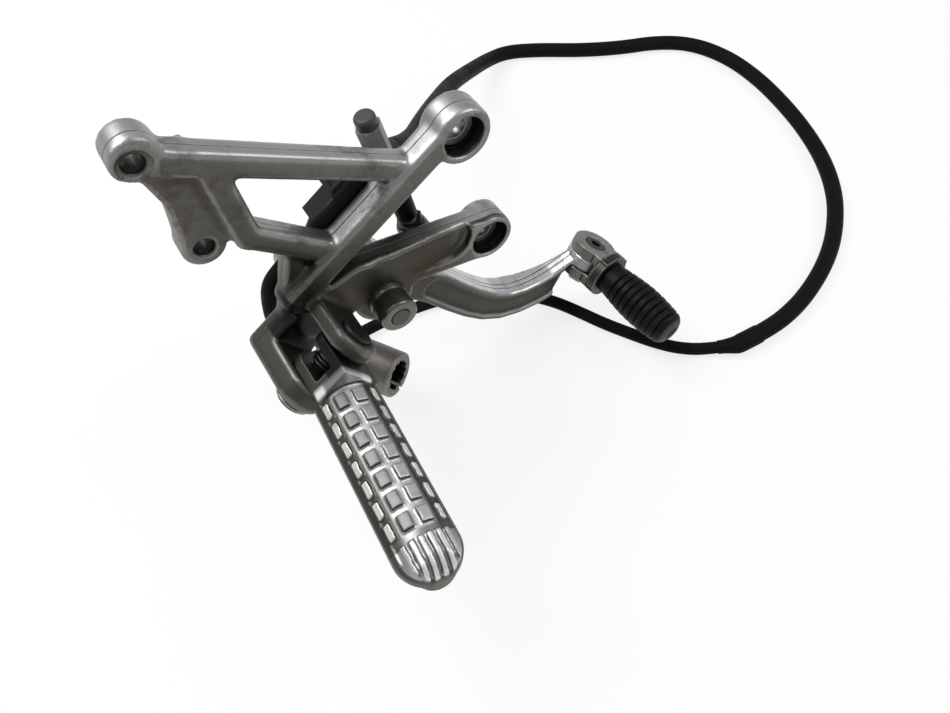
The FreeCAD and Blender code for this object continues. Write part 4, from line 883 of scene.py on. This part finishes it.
def peg_masks(piece):
    """stud: height over the grip's crowned floor, a circle through its two sides and its top, and over the rounded
    nose; rim: studs near a side, painted near white as a painted highlight; side: away from the middle; rubbed: the
    forward half, whose stud tops get a painted highlight; land: plain band before the ribs; tip: the ribbed end, whose
    crests get a painted highlight; flank: below the grip; fork: before the grip; slot: between the fork's cheeks,
    painted near black as painted shade."""
    local = read_points(piece.data) - PEG_PIN
    along = local @ PEG_OUT
    across = local @ np.cross(PEG_TOP, PEG_OUT)
    aside = np.abs(across)
    height = local @ PEG_TOP
    bow = (GRIP_HALF ** 2 + GRIP_CROWN ** 2) / (2 * GRIP_CROWN)
    floor_height = np.sqrt(bow ** 2 - np.clip(across, -GRIP_HALF, GRIP_HALF) ** 2) - bow + GRIP_CROWN
    over = height - floor_height
    ahead = along - (PEG_LONG - NOSE_ROUND)
    nose = np.hypot(np.maximum(ahead, 0), np.maximum(height - NOSE_MIDDLE, 0)) - (NOSE_ROUND - GRIP_GROOVE)
    over = np.where(ahead > 0, np.maximum(over, nose), over)
    stud = np.clip(over / GRIP_GROOVE * 1.4 - 0.3, 0, 1)
    ribs_from = PEG_LONG - TIP_RIBS
    store(piece, "stud", stud)
    store(piece, "rim_highlight", stud * (aside - EDGE_STUDS) / 0.0012)
    store(piece, "side", rise(aside, GRIP_MIDDLE, 0.003))
    # the forward half, which takes a painted highlight on its stud tops
    store(piece, "lit_half", rise(across, 0, 0.002))
    store(piece, "land", rise(along, ribs_from - TIP_LAND, 0.0015) * rise(-along, -ribs_from, 0.0006))
    store(piece, "tip", rise(along, ribs_from, 0.0006))
    store(piece, "flank", np.maximum(rise(-height, 0.0003, 0.0006), rise(aside, FLANK_FROM, 0.0004)))
    store(piece, "fork", rise(-along, -(GRIP_FROM + 0.002), 0.002))
    store(piece, "slot", rise(-aside, -FORK_HALF, 0.0008))


BOSSES = ((0.0, 0.0), (12.5, -60.9))
BOSS_HOLE = 0.0092
BOSS_FACE = -0.014
REAR_HOLES = ((-112.2, 38.0), (-101.8, -3.8))
REAR_HOLE = 0.0046
STRUT = np.array([0.819, 0.0, 0.574])
CLEVIS_HALF = 0.0092
CLEVIS_BACK = -0.0045
CLEVIS_TOP = -0.03
PANEL_FRONT = -0.0138
PANEL_BACK = -0.0105


def casting_masks(piece):
    """sunk: painted shade on the lower arm's panel, outboard faces behind the arm's front face; deep: painted shade
    inside the bolt bosses, the rear holes and the clevis; low: painted shade on the strut's foot and the pivot boss,
    darker towards the bottom."""
    points = read_points(piece.data)
    x, y, z = points.T
    behind = rise(y, PANEL_FRONT, 0.0006) * rise(-y, -PANEL_BACK, 0.0006)
    store(piece, "recess_shade", behind * rise(-z, 0.036, 0.003) * rise(x, -0.052, 0.006))
    deep_shade = np.zeros(len(points))
    for hole_x, hole_z in BOSSES:
        inside = rise(-np.hypot(x - hole_x * MM, z - hole_z * MM), -BOSS_HOLE, 0.0003)
        deep_shade = np.maximum(deep_shade, inside * rise(y, BOSS_FACE + 0.0006, 0.0015))
    for hole_x, hole_z in REAR_HOLES:
        inside = rise(-np.hypot(x - hole_x * MM, z - hole_z * MM), -REAR_HOLE, 0.0008)
        deep_shade = np.maximum(deep_shade, 0.9 * inside)
    away = np.abs((points - PEG_PIN) @ STRUT)
    gap = rise(-away, -CLEVIS_HALF, 0.0006) * rise(-y, -CLEVIS_BACK, 0.003) * rise(-z, -CLEVIS_TOP, 0.004)
    store(piece, "deep_shade", np.maximum(deep_shade, gap))
    store(piece, "low", rise(-z, 0.01, 0.028) * rise(-x, -0.005, 0.02))


HUB_MOUTH = np.array([-0.0365, -0.007, -0.138])
HUB_IN = np.array([-0.513521, 0.857167, -0.039502])
HUB_BORE = 0.0087


def hub_masks(piece):
    """bore: painted shade inside the splined hub, past its mouth."""
    local = read_points(piece.data) - HUB_MOUTH
    along = local @ HUB_IN
    away = np.linalg.norm(local - along[:, None] * HUB_IN, axis=1)
    store(piece, "bore", rise(-away, -HUB_BORE, 0.0003) * rise(along, 0.0008, 0.0015))


FLANGE_FROM = 11.7


def bracket_masks(piece):
    """flange: beyond the eye, along the toe peg."""
    along = (read_points(piece.data) / MM - TOE_EYE) @ TOE_OUT
    store(piece, "flange", rise(along, FLANGE_FROM, 0.5))


peg_masks(soft["footpeg"])
casting_masks(soft["hanger_casting"])
bracket_masks(soft["toe_core"])
hub_masks(soft["splined_arm"])
print("stored the finishes' masks")

# %% [markdown]
# ## Materials for the CAD nodes that stay
# Small turned and hexagonal pieces keep their CAD mesh. A Weld and a narrow Bevel modifier give their edges a
# highlight, and each gets the finish of its slot, or its own where the photograph shows another.

# %% Finishes for the small pieces
FINISHES = {
    "zinc_steel": PLATED, "dark_steel": DARK, "bronze": BRONZE, "black_rubber": RUBBER,
    "black_plastic": PLASTIC, "grey_plastic": GREY_PLASTIC,
}
OWN_FINISH = {"pivot_bolt": DARK_COLLAR, "sensor_cap": CAP, "sensor_nuts": DARK}
SLOT_OF = {row["node"]: row["material_slot"] for row in frame["record"]["subparts"]}
BEVEL_WIDE = 0.0003
BEVEL_ANGLE = math.radians(35)
kept = [n for n, o in nodes.items() if not o.hide_render]
for name in kept:
    node = nodes[name]
    node.data.materials.clear()
    node.data.materials.append(OWN_FINISH.get(name, FINISHES[SLOT_OF[name]]))
    weld = node.modifiers.new("weld", "WELD")
    weld.merge_threshold = MERGE
    bevel = node.modifiers.new("bevel", "BEVEL")
    bevel.width = BEVEL_WIDE
    bevel.segments = 2
    bevel.limit_method = "ANGLE"
    bevel.angle_limit = BEVEL_ANGLE
    bevel.harden_normals = True
print("kept", len(kept), "nodes")

# %% [markdown]
# ## Floor and light
# The part lies on a plain white floor under broad soft lights, like a product table. The floor shows the camera
# and the metal a white close to full, and keeps a pale shadow.

# %% Floor
FLOOR_Z = -0.1641
FLOOR_HALF = 6.0
FLOOR_GLOW = 0.8


def floor_material():
    made, tree, shader = new_material("white_floor", 0.0, 0.6)
    shader.inputs["Base Color"].default_value = (0.9, 0.9, 0.9, 1.0)
    glow = add_node(tree, "ShaderNodeEmission")
    glow.inputs["Color"].default_value = (1.0, 1.0, 1.0, 1.0)
    rays = add_node(tree, "ShaderNodeLightPath")
    seen = math_node(tree, "MAXIMUM", rays.outputs["Is Camera Ray"], rays.outputs["Is Glossy Ray"])
    seen = math_node(tree, "MAXIMUM", seen, rays.outputs["Is Transmission Ray"])
    mixed = add_node(tree, "ShaderNodeMixShader")
    link(tree, math_node(tree, "MULTIPLY", seen, FLOOR_GLOW), mixed.inputs[0])
    link(tree, shader.outputs[0], mixed.inputs[1])
    link(tree, glow.outputs[0], mixed.inputs[2])
    link(tree, mixed.outputs[0], tree.nodes["Material Output"].inputs["Surface"])
    return made


floor_mesh = bpy.data.meshes.new("floor")
corners = [(x * FLOOR_HALF, y * FLOOR_HALF, FLOOR_Z) for x, y in ((-1, -1), (1, -1), (1, 1), (-1, 1))]
floor_mesh.from_pydata(corners, [], [(0, 1, 2, 3)])
floor_mesh.materials.append(floor_material())
floor = bpy.data.objects.new("floor", floor_mesh)
bpy.context.scene.collection.objects.link(floor)

# %% Light
world = bpy.data.worlds.new("studio")
bpy.context.scene.world = world
world.use_nodes = True
sky = world.node_tree.nodes["Background"]
sky.inputs["Color"].default_value = (0.95, 0.97, 1.0, 1.0)
sky.inputs["Strength"].default_value = 0.45


def soft_light(name, place, target, size, power):
    """A square area light that looks at a point."""
    data = bpy.data.lights.new(name, "AREA")
    data.shape = "SQUARE"
    data.size = size
    data.energy = power
    made = bpy.data.objects.new(name, data)
    made.location = place
    made.rotation_mode = "QUATERNION"
    made.rotation_quaternion = (Vector(target) - Vector(place)).to_track_quat("-Z", "Y")
    bpy.context.scene.collection.objects.link(made)


LIGHT_AIM = (0.05, 0, -0.08)
soft_light("key_light", (-0.5, 0.5, 1.1), LIGHT_AIM, 0.9, 14.0)
soft_light("fill_light", (0.9, -0.5, 0.9), LIGHT_AIM, 0.8, 6.0)
bpy.context.scene.view_settings.view_transform = "Standard"
print("lights ready")
